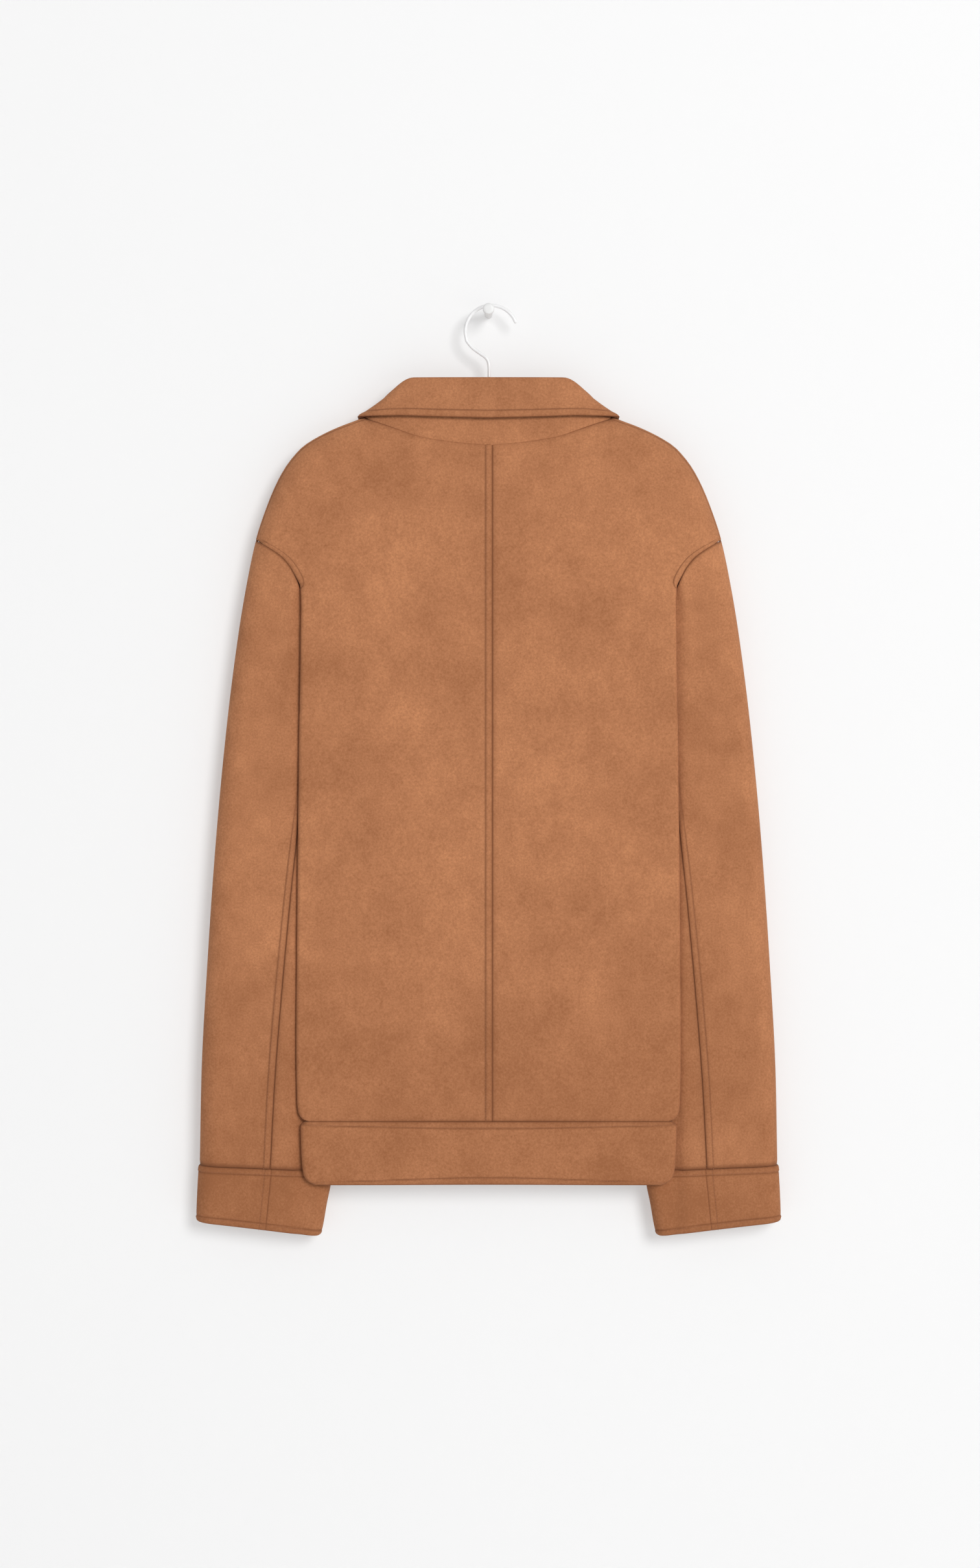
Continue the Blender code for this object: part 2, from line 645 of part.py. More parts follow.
def main():
    for obj in list(bpy.data.objects):
        bpy.data.objects.remove(obj)
    bpy.context.scene.collection.children.link(bpy.data.collections.new("suede_jacket"))
    half_gap = SEAM_GAP / 2
    cloth("back_left", body_panel(-1, True, -CENTRE_BACK_X + half_gap), SUEDE)
    cloth("back_right", body_panel(1, True, CENTRE_BACK_X + half_gap), SUEDE)
    cloth("front_left", body_panel(-1, False, -LAP_LEFT_X, lap_lift), SUEDE)
    cloth("front_right", body_panel(1, False, LAP_RIGHT_X), SUEDE)
    back_band = joined_halves(hem_panel(-1, True, 0), hem_panel(1, True, 0))
    cloth("hem_back", back_band, FOLDED_SUEDE)
    cloth("hem_front_left", hem_panel(-1, False, -LAP_LEFT_X, band_lift), FOLDED_SUEDE)
    cloth("hem_front_right", hem_panel(1, False, LAP_RIGHT_X), FOLDED_SUEDE)
    for word, side in (("left", -1), ("right", 1)):
        cloth(f"sleeve_outer_{word}", sleeve_piece(side, OUTER_STATIONS), SUEDE)
        cloth(f"sleeve_under_{word}", sleeve_piece(side, UNDER_STATIONS), SUEDE)
        cloth(f"cuff_{word}", cuff_rows(side), FOLDED_SUEDE, ring=True)
    cloth("collar_stand", stand_rows(), FOLDED_SUEDE)
    cloth("collar_fall", fall_rows(), FOLDED_SUEDE)
    buttons()
    hanger()
    wall_peg()


main()
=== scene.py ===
"""Looks of a suede jacket that hangs on a hanger from a wall peg.

Lengths in the tables are millimetres, measured as in the frame: x to the right seen from the jacket's
back, z up from the peg's axis, and depths from the middle plane that holds the hanger.
"""

import math

import bmesh
import bpy
import numpy as np
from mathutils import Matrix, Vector


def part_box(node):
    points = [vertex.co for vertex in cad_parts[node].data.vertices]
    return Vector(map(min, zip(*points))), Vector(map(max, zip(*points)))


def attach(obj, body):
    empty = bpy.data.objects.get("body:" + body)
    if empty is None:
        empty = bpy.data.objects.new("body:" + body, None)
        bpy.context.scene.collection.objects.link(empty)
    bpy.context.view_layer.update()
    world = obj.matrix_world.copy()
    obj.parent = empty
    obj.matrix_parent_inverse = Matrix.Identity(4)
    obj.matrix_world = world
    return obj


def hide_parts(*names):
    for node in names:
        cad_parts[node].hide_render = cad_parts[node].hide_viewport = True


bl_info = {
    "name": "Hanging Suede Jacket",
    "version": (1, 0, 0),
    "blender": (4, 5, 0),
    "location": "View3D > Sidebar > Jacket",
    "description": "Builds a suede jacket on its hanger, with seams, topstitching, buttons and a wall",
    "category": "Add Mesh",
}

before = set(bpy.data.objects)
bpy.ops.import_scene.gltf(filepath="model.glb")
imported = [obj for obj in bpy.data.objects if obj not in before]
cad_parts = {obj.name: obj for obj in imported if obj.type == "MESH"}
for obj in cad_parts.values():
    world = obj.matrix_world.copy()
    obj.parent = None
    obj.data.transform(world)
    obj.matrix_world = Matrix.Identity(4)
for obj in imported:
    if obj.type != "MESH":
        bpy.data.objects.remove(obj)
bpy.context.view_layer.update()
MM = 0.001

# ---------------------------------------------------------------- the garment's form, in millimetres
MIDDLE_Y = -22.0
BACK_DEPTH = 18.5
FRONT_DEPTH = 13.0
TUCK_DEPTH = 12.5
SLEEVE_DEPTH = 10.0
OUTER_SLEEVE_DEPTH = 13.8
SHOULDER_ROUND = 20.0
SEAM_GAP = 0.3
RIDGE_INSET = 0.7
TO_THE_ROOM = np.array([0, -1, 0])

ARMHOLE_TOP = -214.0
FOLD_TOP = -257.0
UNDERARM = -400.0
SLEEVE_TUCK = 1.4
HEM_SEAM = -753.0
HEM_EDGE = -811.0
CUFF_SEAM_OUT, CUFF_SEAM_IN = -795.0, -800.0
CUFF_EDGE_OUT, CUFF_EDGE_IN = -846.9, -860.0

OUTLINE = {
    "z": [-97, -102.3, -108.3, -114.4, -120.4, -126.4, -132.5, -144.5, -162.7, -186.8, -214, -241, -295, -386,
          -495, -603, -712, -803, -870],
    "x": [112, 125, 140.4, 153.4, 164.2, 173, 179, 188.4, 198.3, 208, 216.8, 222.8, 232.2, 243.9,
          254.2, 261.7, 267.5, 269.3, 272.5],
}
NECK = {
    "x": [0, 20, 42, 64, 85, 100, 110, 114],
    "z_back": [-125, -123.6, -121, -117, -110, -104.6, -101.2, -99.5],
    "z_front": [-150, -148, -142, -132, -119, -108.5, -102.5, -99.5],
    "d_back": [14, 13.9, 13.5, 12.8, 11.3, 8.5, 4.6, 0.0],
    "d_front": [9.8, 9.8, 9.8, 9.8, 9.4, 7.8, 4.4, 0.0],
}
SIDE = {
    "z": [-257, -275, -295, -320, -350, -385, -400, -440, -520, -600, -680, -735, -743, -748, -751, -753,
          -757, -795, -803, -808, -811],
    "fold": [174, 173, 173.4, 173.6, 174, 174.8, 175, 175.4, 176.3, 177, 177.6, 176.8, 176, 174, 171, 167.5,
             173, 171.6, 170, 166, 158],
    "valley": [171, 161, 150, 138, 122, 101, 92, 95, 101, 108, 117, 125, 126, 127, 128, 128,
               128, 133, 134, 135, 135],
}
ARMHOLE = {
    "z": [-214, -216.5, -221.7, -229.8, -239.1, -248.7, -257],
    "x": [216.8, 211.5, 202.9, 191.5, 183.7, 178.3, 174],
}
FOLD_TURN = {"z": [-240, -249, -257, -264, -272], "angle": [0, 25, 80, 150, 180]}
VALLEY_TURN = {"z": [-372, -386, -394, -400.1], "angle": [0, 25, 60, 90]}
SHOULDER_ROWS = {
    "row": [0, 1, 2, 3, 4, 5, 6],
    "back": [-125, -134, -145, -159, -177, -196, -214],
    "front": [-150, -156, -164, -174, -187, -200, -214],
    "ridge": [-99.5, -106, -116, -131, -154, -183, -214],
}
SLEEVE = {
    "row": [0, 1, 2, 3, 4, 5, 6, 7, 8, 9, 10, 11],
    "z_out": [-214, -236, -262, -295, -335, -385, -445, -515, -590, -665, -735, -795],
    "z_in": [-400, -408, -420, -438, -463, -496, -538, -590, -645, -700, -752, -800],
    "x_in": [94, 97, 101, 105, 109, 114, 119.5, 126, 132.5, 138.5, 143.5, 147.5],
    "curve": [1, 0.85, 0.66, 0.46, 0.28, 0.13, 0.04, 0, 0, 0, 0, 0],
}
BACK_SEAM_SHARE = 0.545
FRONT_SEAM_SHARE = 0.8
CUFF = {
    "share": [0, 0.18, 0.5, 0.93, 0.97, 1.0],
    "inner": [146.8, 147.8, 151.6, 156.4, 157.4, 159.5],
    "outer": [268.8, 269.4, 270.3, 271.0, 270.6, 269.0],
}
CENTRE_BACK_X = 3.5
LAP_LEFT_X, LAP_RIGHT_X = 14.0, -15.0
LAP_DEPTH = 2.6
LAP_STEP_START, LAP_STEP_END = 17.0, 36.0
BAND_LAP = 1.25
COLLAR = {
    "share": [0, 0.14, 0.28, 0.4, 0.5, 0.62, 0.76, 0.9, 1.0],
    "roll_x": [0, 36, 69, 88, 98, 92, 66, 32, 5],
    "roll_z": [-64, -64, -64, -75, -86, -93, -102, -110, -114],
    "roll_d": [12, 11.8, 10.5, 7, 0, -7.6, -10.4, -11, -11],
    "fall_x": [0, 42, 85, 112, 121.5, 117, 98, 72, 50],
    "fall_z": [-101, -100, -98.6, -98.6, -98.6, -111, -134, -158, -172],
    "fall_d": [18.4, 18.0, 16.2, 10.5, 0, -10.5, -15.6, -16.4, -16.2],
}
COLLAR_ROLL_RADIUS = 2.0
STAND_DROP = 3.0
ARM_PATH = [(0, -96), (30, -98), (62, -103), (95, -110), (125, -118), (152, -132), (174, -152), (188, -174)]
HOOK_CENTRE, HOOK_RADIUS = (2.6, -18.6), 24.2
HOOK_END_ANGLE, HOOK_START_ANGLE = 21.6, 205.0
HOOK_STEM = [(-14.8, -34.0), (-7.8, -39.2), (-2.0, -43.6), (0.5, -50.0), (0.7, -62.0), (0.7, -90.1)]
ARM_RADIUS, WIRE_RADIUS = 5.4, 1.65
# The peg from the wall to the middle of its head.
PEG = {
    "radius": [0, 3.4, 3.6, 3.6, 3.75, 4.6, 5.1, 5.3, 5.3, 5.15, 4.75, 4.1, 2.2, 0],
    "y": [0, 0, -0.3, -32.4, -32.9, -33.4, -33.9, -34.7, -38.4, -39.1, -39.7, -40.0, -40.0, -40.0],
}
BUTTON_NODES = [f"button_{n}" for n in range(1, 7)]
# One bar of thread across a button, between two of its holes: share of its half width, and metres out.
THREAD_BEND = [(-1, -0.0008), (-0.9, 0.0002), (-0.4, 0.0005), (0.4, 0.0005), (0.9, 0.0002), (1, -0.0008)]
THREAD_BAR_RADIUS = 0.00045

# Soft troughs (positive depth) and ridges (negative) in the body, from one end to the other.
BACK_CREASES = {
    "from_x": [0, 0, -168, 166, -150, 148, -100, 95, -60, 70, -165, 160, -40, 30, -120, 128],
    "from_z": [-300, -470, -290, -300, -330, -345, -345, -352, -523, -530, -560, -600, -640, -655, -690,
               -700],
    "to_x": [0, 0, -120, 112, -95, 88, 90, 20, 85, 10, -110, 98, 60, -30, -70, 70],
    "to_z": [-560, -700, -420, -450, -520, -560, -338, -340, -519, -545, -650, -690, -665, -700, -735, -742],
    "width": [7, 9, 17, 19, 22, 24, 16, 14, 18, 14, 26, 28, 18, 16, 14, 12],
    "depth": [0.9, 0.5, 0.8, 0.7, -1.2, -1.1, 0.45, 0.3, 0.5, 0.3, 1.1, 1.0, 0.5, 0.4, 0.7, 0.6],
}
FRONT_CREASES = {
    "from_x": [-166, 164, -110, 100, -150, 140, -70, 66],
    "from_z": [-300, -310, -230, -240, -420, -450, -600, -640],
    "to_x": [-70, 60, -40, 44, -60, 70, -150, 140],
    "to_z": [-430, -470, -330, -350, -640, -620, -735, -725],
    "width": [16, 18, 20, 18, 22, 24, 16, 18],
    "depth": [1.2, 1.0, -1.0, -0.9, 1.2, 1.0, 0.9, 1.0],
}
# Creases across a sleeve, by height and share of its width.
SLEEVE_CREASES = {
    "from_share": [0.05, 0.9, 0.1, 0.85, 0.15, 0.8],
    "from_z": [-330, -440, -520, -560, -690, -735],
    "to_share": [0.5, 0.4, 0.6, 0.35, 0.6, 0.3],
    "to_z": [-370, -500, -545, -620, -705, -760],
    "width": [10, 12, 12, 14, 10, 9],
    "depth": [0.7, 0.9, 0.8, 0.9, 0.8, 0.7],
}


def at(table, key, value, column):
    """The column's value where key has this value, along a smooth curve through the rows."""
    keys = np.array(table[key], float)
    values = np.array(table[column], float)
    if keys[0] > keys[-1]:
        keys, values = keys[::-1], values[::-1]
    slopes = np.diff(values) / np.diff(keys)
    total = slopes[1:] + slopes[:-1] + 1e-12
    inner = np.where(slopes[1:] * slopes[:-1] > 0, 2 * slopes[1:] * slopes[:-1] / total, 0)
    tangents = np.concatenate([slopes[:1], inner, slopes[-1:]])
    value = min(max(value, keys[0]), keys[-1])
    i = min(int(np.searchsorted(keys, value, "right")) - 1, len(keys) - 2)
    width = keys[i + 1] - keys[i]
    t = (value - keys[i]) / width
    return float(
        values[i] * (1 + 2 * t) * (1 - t) ** 2
        + values[i + 1] * t * t * (3 - 2 * t)
        + width * (tangents[i] * t * (1 - t) ** 2 - tangents[i + 1] * t * t * (1 - t))
    )


def no_lift(_x):
    """The lift of a panel that lies straight on the one below it."""
    return 0.0


def smooth_step(value):
    value = min(max(value, 0), 1)
    return value * value * (3 - 2 * value)


def rounding(distance, radius):
    """0 at an edge, rising as a quarter circle to 1 at the radius."""
    inside = min(max(distance / radius, 0), 1)
    return math.sqrt(1 - (1 - inside) ** 2)


HEIGHTS = np.concatenate([np.linspace(-97, -240, 120), np.linspace(-242, -870, 120)])
SILHOUETTE = np.array([(at(OUTLINE, "z", z, "x"), z) for z in HEIGHTS])


def from_outline(x, z):
    """How far a point is inside the silhouette, measured to its nearest stretch."""
    gaps = np.hypot(SILHOUETTE[:, 0] - x, SILHOUETTE[:, 1] - z)
    i = int(np.argmin(gaps))
    a, b = SILHOUETTE[max(i - 1, 0)], SILHOUETTE[min(i + 1, len(SILHOUETTE) - 1)]
    along = (b - a) / np.linalg.norm(b - a)
    across = np.array([x, z]) - a
    if 0 < i < len(SILHOUETTE) - 1:
        return abs(float(across[0] * along[1] - across[1] * along[0]))
    return float(gaps[i])


def body_depth(x, z, back):
    """The depth of the outer cloth, which thins toward the neck and rounds over at the shoulder."""
    neck = smooth_step((-z - 95) / 110)
    if back:
        full = 13.0 + (BACK_DEPTH - 13.0) * neck
    else:
        middle = 9.5 + (FRONT_DEPTH - 9.5) * neck
        sides = smooth_step((x - 60) / 80) * smooth_step((-z - 150) / 80)
        full = middle + (BACK_DEPTH - FRONT_DEPTH) * sides
    return full * rounding(from_outline(x, z) - RIDGE_INSET, SHOULDER_ROUND)


def turned(start, heading, length, angle, steps):
    """Points that leave start along heading and turn by angle (degrees) over length."""
    points = []
    x, d = start
    for _ in range(steps):
        heading += math.radians(angle) / steps / 2
        x += length / steps * math.cos(heading)
        d += length / steps * math.sin(heading)
        heading += math.radians(angle) / steps / 2
        points.append((x, d))
    return points, heading


FACE_NEAR_EDGE = [0.0, 0.7, 1.6, 2.8, 4.2, 5.4, 6.0, 6.6, 8.0, 11.0]
FACE_COLUMNS = 24
FOLD_COLUMNS = 16
STRIP_COLUMNS = 9
VALLEY_COLUMNS = 9
SIDE_COLUMNS = FOLD_COLUMNS + STRIP_COLUMNS + VALLEY_COLUMNS
LEAST_FOLD, LEAST_STRIP, LEAST_VALLEY = 7.0, 4.0, 4.0
FOLD_RADIUS = 3.0


def face_places(start_x, end_x):
    """Distances from the centre of the columns on the outer face, close together near its seam."""
    near = [start_x + step for step in FACE_NEAR_EDGE]
    first = near[-1]
    return near + [first + (end_x - first) * (k + 1) / FACE_COLUMNS for k in range(FACE_COLUMNS)]


def side_of(z, back):
    """Where the cloth starts to turn at the side, how far it turns, and its straight and valley lengths."""
    turn = at(FOLD_TURN, "z", z, "angle")
    bend = at(VALLEY_TURN, "z", z, "angle")
    if z >= FOLD_TOP:
        strip = 3.0 * smooth_step((-245 - z) / 12)
        lean = math.radians(min(turn, 90))
        start = at(ARMHOLE, "z", z, "x") - FOLD_RADIUS * math.sin(lean) - strip * math.cos(lean)
        return start, turn, bend, FOLD_RADIUS, strip, 0.0
    fold = at(SIDE, "z", z, "fold")
    radius = (body_depth(fold - 3, z, back) - TUCK_DEPTH) / 2
    start = fold - radius
    reach = start + radius * math.sin(math.radians(turn)) - at(SIDE, "z", z, "valley")
    strip = max(reach, 3.0)
    valley = max(min(TUCK_DEPTH * math.pi / 2 * bend / 90, strip * 0.6), 0.0)
    return start, turn, bend, radius, strip - valley * (1 - 0.36 * math.sin(math.radians(bend))), valley


def body_row(z, back, start_x=0.0, lift=no_lift):
    """One level of half the body, as (x, depth) from the centre to the side's seam, and its last heading.

    The cloth runs out to the fold, back behind itself and, below the underarm, round the valley.
    """
    start, turn, bend, radius, strip, valley = side_of(z, back)
    path = [(x, body_depth(x, z, back) + lift(x)) for x in np.linspace(start - 24, start, 25)]
    curl, heading = turned(path[-1], 0.0, radius * math.radians(turn), -turn, 16) if turn else ([], 0.0)
    path += curl
    for _ in range(8):
        x, d = path[-1]
        path.append((x + strip / 8 * math.cos(heading), d + strip / 8 * math.sin(heading)))
    if valley:
        curl, heading = turned(path[-1], heading, valley, bend, 12)
        path += curl
    path = np.array(path)
    along = np.concatenate([[0], np.cumsum(np.linalg.norm(np.diff(path, axis=0), axis=1))])
    spans = (max(radius * math.radians(turn), LEAST_FOLD), max(strip, LEAST_STRIP), max(valley, LEAST_VALLEY))
    first = along[-1] - sum(spans)
    stops = [first]
    for span, count in zip(spans, (FOLD_COLUMNS, STRIP_COLUMNS, VALLEY_COLUMNS)):
        stops += [stops[-1] + span * (k + 1) / count for k in range(count)]
    side = [(np.interp(stop, along, path[:, 0]), np.interp(stop, along, path[:, 1])) for stop in stops]
    points = [(x, body_depth(x, z, back) + lift(x)) for x in face_places(start_x, side[0][0])]
    return points + side[1:], heading


def neck_depth(x, back):
    return at(NECK, "x", min(max(x, 0), 114), "d_back" if back else "d_front")


def neck_height(share, back):
    """How far the neck seam has risen from the centre toward the shoulder, 0 to 1."""
    column = "z_back" if back else "z_front"
    low, high = NECK[column][0], NECK[column][-1]
    return (at(NECK, "x", share * NECK["x"][-1], column) - low) / (high - low)


def shoulder_row(index, back, start_x, lift):
    """A curved row from the centre to the shoulder seam, between the neck seam and the armhole's top."""
    low = at(SHOULDER_ROWS, "row", index, "back" if back else "front")
    high = at(SHOULDER_ROWS, "row", index, "ridge")
    ridge_x = at(OUTLINE, "z", high, "x") - 0.7
    places = face_places(start_x, ridge_x - SHOULDER_ROUND)
    for step in range(1, SIDE_COLUMNS + 1):
        places.append(ridge_x - SHOULDER_ROUND * (1 - math.sin(step / SIDE_COLUMNS * math.pi / 2)))
    points = []
    for x in places:
        share = max(x, 0) / ridge_x
        z = low + (high - low) * neck_height(share, back)
        near_neck = neck_depth(x * 114 / ridge_x, back)
        depth = near_neck + (body_depth(x, z, back) - near_neck) * min(1, index / 2)
        points.append((x, max(depth + lift(x), SEAM_GAP), z))
    return points


def place(x, depth, z, side, back):
    return (side * x, MIDDLE_Y - depth if back else MIDDLE_Y + depth, z)


def spaced(start, end, step, close_start=(), close_end=()):
    """Values from start down to end about a step apart, with close ones near either end."""
    first = start - (close_start[-1] if close_start else 0)
    last = end + (close_end[-1] if close_end else 0)
    count = max(2, round(abs(first - last) / step))
    middle = [first + (last - first) * k / count for k in range(1, count)]
    return [start - c for c in close_start] + middle + [end + c for c in reversed(close_end)]


EDGE_STEPS = (0.0, 0.7, 1.6, 2.8, 4.2, 5.4, 6.0, 6.6, 8.0, 11.0)


def body_rows(side, back, start_x, lift=no_lift):
    rows = []
    for index in np.concatenate([[0, 0.08, 0.2, 0.35], np.linspace(0.55, 5.95, 22)]):
        row = shoulder_row(float(index), back, start_x, lift)
        rows.append([place(x, d, z, side, back) for x, d, z in row])
    levels = spaced(ARMHOLE_TOP - 0.4, -272, 3.0) + spaced(-274, -372, 6.0) + spaced(-374, -404, 3.0)
    levels += spaced(-408, HEM_SEAM + SEAM_GAP, 7.0, close_end=EDGE_STEPS)
    for z in levels:
        points, _ = body_row(z, back, start_x, lift)
        row = [(x, d, z) for x, d in points]
        if z < UNDERARM + 1:
            row[-1] = (row[-1][0], max(row[-1][1], SEAM_GAP), z)
        rows.append([place(x, d, z, side, back) for x, d, z in row])
    return np.array(rows)


def hem_rows(side, back, start_x, lift=no_lift):
    rows = []
    for z in spaced(HEM_SEAM - SEAM_GAP, HEM_EDGE, 5.0, EDGE_STEPS, EDGE_STEPS):
        points, _ = body_row(z, back, start_x, lift)
        row = [(x, d, z) for x, d in points]
        row[-1] = (row[-1][0], max(row[-1][1], SEAM_GAP * 2), z)
        rows.append([place(x, d, z, side, back) for x, d, z in row])
    return np.array(rows)


def armhole(back):
    """The sleeve's first row from the shoulder to the underarm: (x, z, depth) just off the body's edge."""
    samples = [(at(OUTLINE, "z", ARMHOLE_TOP, "x") - RIDGE_INSET, ARMHOLE_TOP + SLEEVE_TUCK, 0.0)]
    for z in np.linspace(ARMHOLE_TOP - 0.6, UNDERARM, 160):
        points, heading = body_row(float(z), back)
        x, depth = points[-1]
        turn = -math.degrees(heading)
        bend = at(VALLEY_TURN, "z", z, "angle")
        if turn <= 90 and bend == 0:
            offset = SEAM_GAP + 0.7 * math.sin(math.radians(turn))
            angle = 0.0
        else:
            offset = 1.0 + 0.7 * min(1, (turn + bend - 90) / 90) + 0.6 * math.sin(math.radians(bend))
            angle = -math.radians(min(turn + bend, 180) - 90) * (1 - bend / 90)
        samples.append((x + offset * math.cos(angle), z, max(depth + offset * math.sin(angle), 0.0)))
    samples.append((samples[-1][0], UNDERARM - 0.1, 0.0))
    samples = np.array(samples)
    steps = np.hypot(np.diff(samples[:, 0]), np.diff(samples[:, 1]))
    return np.concatenate([[0], np.cumsum(steps)]) / steps.sum(), samples


ARMHOLES = {True: armhole(True), False: armhole(False)}


def sleeve_depth(x, z, inner_x, tuck_depth, outer_depth):
    full = tuck_depth + (outer_depth - tuck_depth) * smooth_step((x - 173.5) / 9)
    outer = rounding(from_outline(x, z) - RIDGE_INSET, 16)
    inner = rounding(x - inner_x, tuck_depth)
    return full * min(outer, inner)


def sleeve_point(row, back, share):
    """(x, depth, z) on one row of the sleeve, at this share of the way from its outer to its inner fold."""
    shares, samples = ARMHOLES[back]
    top = np.array([np.interp(share, shares, samples[:, c]) for c in range(3)])
    if row == 0:
        return top[0], top[2], top[1]
    z_out, z_in = at(SLEEVE, "row", row, "z_out"), at(SLEEVE, "row", row, "z_in")
    x_out = at(OUTLINE, "z", z_out, "x") - 0.7
    x_in = at(SLEEVE, "row", row, "x_in")
    keep = at(SLEEVE, "row", row, "curve")
    chord = samples[0] + share * (samples[-1] - samples[0])
    x = x_out + share * (x_in - x_out) + keep * (top[0] - chord[0])
    z = z_out + share * (z_in - z_out) + keep * (top[1] - chord[1])
    if share in (0.0, 1.0):
        return x, 0.0, z
    plain = sleeve_depth(x, z, x_in, SLEEVE_DEPTH, OUTER_SLEEVE_DEPTH)
    hold = smooth_step(1 - row / 1.3)
    return x, hold * top[2] + (1 - hold) * plain, z


# ---------------------------------------------------------------- rows of the other cloth pieces
CLOSE_SHARES = (0.0014, 0.006, 0.012, 0.02, 0.03, 0.038, 0.043, 0.048, 0.06)
SLEEVE_ROWS = np.concatenate([[0, 0.06, 0.15, 0.3, 0.5, 0.75], np.linspace(1, 10.6, 56),
                              [10.75, 10.85, 10.92, 11]])


def outer_stations():
    """(back, share) round the outer part of a sleeve, from its back seam over the outside to the front."""
    back = [BACK_SEAM_SHARE - c for c in CLOSE_SHARES]
    back += list(np.linspace(back[-1], 0.04, 16)[1:]) + [0.028, 0.018, 0.01, 0.004]
    front = [0.004, 0.01, 0.018, 0.028] + list(np.linspace(0.04, FRONT_SEAM_SHARE - 0.06, 22))
    front += [FRONT_SEAM_SHARE - c for c in CLOSE_SHARES[-2::-1]]
    return [(True, s) for s in back] + [(True, 0.0)] + [(False, s) for s in front]


def under_stations():
    front = [FRONT_SEAM_SHARE + c for c in CLOSE_SHARES[:5]] + list(np.linspace(0.85, 0.96, 6))
    back = [BACK_SEAM_SHARE + c for c in CLOSE_SHARES[:5]] + list(np.linspace(0.59, 0.96, 16))
    fold = [0.972, 0.982, 0.99, 0.996]
    return [(False, s) for s in front + fold] + [(True, 1.0)] + [(True, s) for s in (back + fold)[::-1]]


def sleeve_rows(side, stations):
    rows = []
    for row in SLEEVE_ROWS:
        lift = SEAM_GAP / 2 if row == SLEEVE_ROWS[-1] else 0
        points = [(back, *sleeve_point(float(row), back, share)) for back, share in stations]
        rows.append([place(x, depth, z + lift, side, back) for back, x, depth, z in points])
    return np.array(rows)


def cuff_rows(side):
    reach = CUFF_SEAM_OUT - CUFF_EDGE_OUT
    shares = [(-z) / reach for z in spaced(0, -reach, 4.0, EDGE_STEPS, EDGE_STEPS)]
    ends = [0.0, 0.004, 0.012, 0.025, 0.045, 0.07, 0.1, 0.135]
    stations = ends + list(np.linspace(0.16, 0.44, 10)) + list(np.linspace(0.45, 0.62, 40))
    stations += list(np.linspace(0.64, 0.84, 8)) + [1 - e for e in ends[::-1]]
    rows = []
    for share in shares:
        z_out = CUFF_SEAM_OUT - SEAM_GAP / 2 + (CUFF_EDGE_OUT - CUFF_SEAM_OUT) * share
        z_in = CUFF_SEAM_IN - SEAM_GAP / 2 + (CUFF_EDGE_IN - CUFF_SEAM_IN) * share
        x_out, x_in = at(CUFF, "share", share, "outer"), at(CUFF, "share", share, "inner")
        row = []
        for back, along in ((True, stations), (False, stations[-2:0:-1])):
            for f in along:
                x = x_out + f * (x_in - x_out)
                full = 9.2 + 2.4 * smooth_step((x - 173.5) / 12)
                depth = full * min(rounding(x_out - x, 15), rounding(x - x_in, 9))
                row.append(place(x, depth, z_out + f * (z_in - z_out), side, back))
        rows.append(row)
    return np.array(rows)


def cuff_seam_x(z):
    """How far from the centre the cuff's seam is at this height."""
    return 201 + 6 * np.clip((CUFF_SEAM_OUT - z) / 60, 0, 1)


def cuff_line(name, offset):
    """A line down the back of a cuff, this far outboard of its seam, with outward normals."""
    sheet = SHEETS[name]
    points, lies = [], []
    for row, facing in zip(sheet["surface"], sheet["normals"]):
        half = len(row) // 2
        order = np.argsort(np.abs(row[:half, 0]))
        x = cuff_seam_x(np.interp(205, np.abs(row[:half, 0])[order], row[:half, 2][order])) + offset
        point = [np.interp(x, np.abs(row[:half, 0])[order], row[:half, c][order]) for c in range(3)]
        lie = [np.interp(x, np.abs(row[:half, 0])[order], facing[:half, c][order]) for c in range(3)]
        points.append(np.array(point) + np.array(lie) * sheet["thickness"] / 2)
        lies.append(np.array(lie))
    return np.array(points), np.array(lies)


def neck_point(share):
    """(x, depth toward the back, z) on the neck seam, from centre back at 0 to centre front at 1."""
    x = NECK["x"][-1] * math.sin(share * math.pi)
    if share <= 0.5:
        return x, neck_depth(x, True), at(NECK, "x", x, "z_back")
    x = max(x, 1.0)
    return x, -neck_depth(x, False), at(NECK, "x", x, "z_front")


def collar_section(share):
    """The neck seam, the stand's top, the roll and the fall's edge at this share of the way round."""
    seam = np.array(neck_point(share))
    roll = np.array([at(COLLAR, "share", share, c) for c in ("roll_x", "roll_d", "roll_z")])
    edge = np.array([at(COLLAR, "share", share, c) for c in ("fall_x", "fall_d", "fall_z")])
    out = np.array([0.35 * math.sin(share * math.pi), math.cos(share * math.pi), 0])
    out = out / np.linalg.norm(out)
    crest = roll - np.array([0, 0, COLLAR_ROLL_RADIUS])
    inner_top = crest - out * COLLAR_ROLL_RADIUS
    return seam, inner_top, crest, out, edge


COLLAR_SHARES = np.concatenate([np.linspace(0, 0.4, 34), np.linspace(0.41, 0.6, 24),
                                np.linspace(0.61, 0.975, 28), [0.98, 0.986, 0.992, 0.996, 1.0]])


def round_the_neck(line_of):
    """Lines from one front end round the back to the other, from a line for one share and side."""
    rows = []
    for side, shares in ((-1, COLLAR_SHARES[::-1]), (1, COLLAR_SHARES[1:])):
        for share in shares:
            rows.append([(side * x, MIDDLE_Y - depth, z) for x, depth, z in line_of(float(share))])
    return np.array(rows)


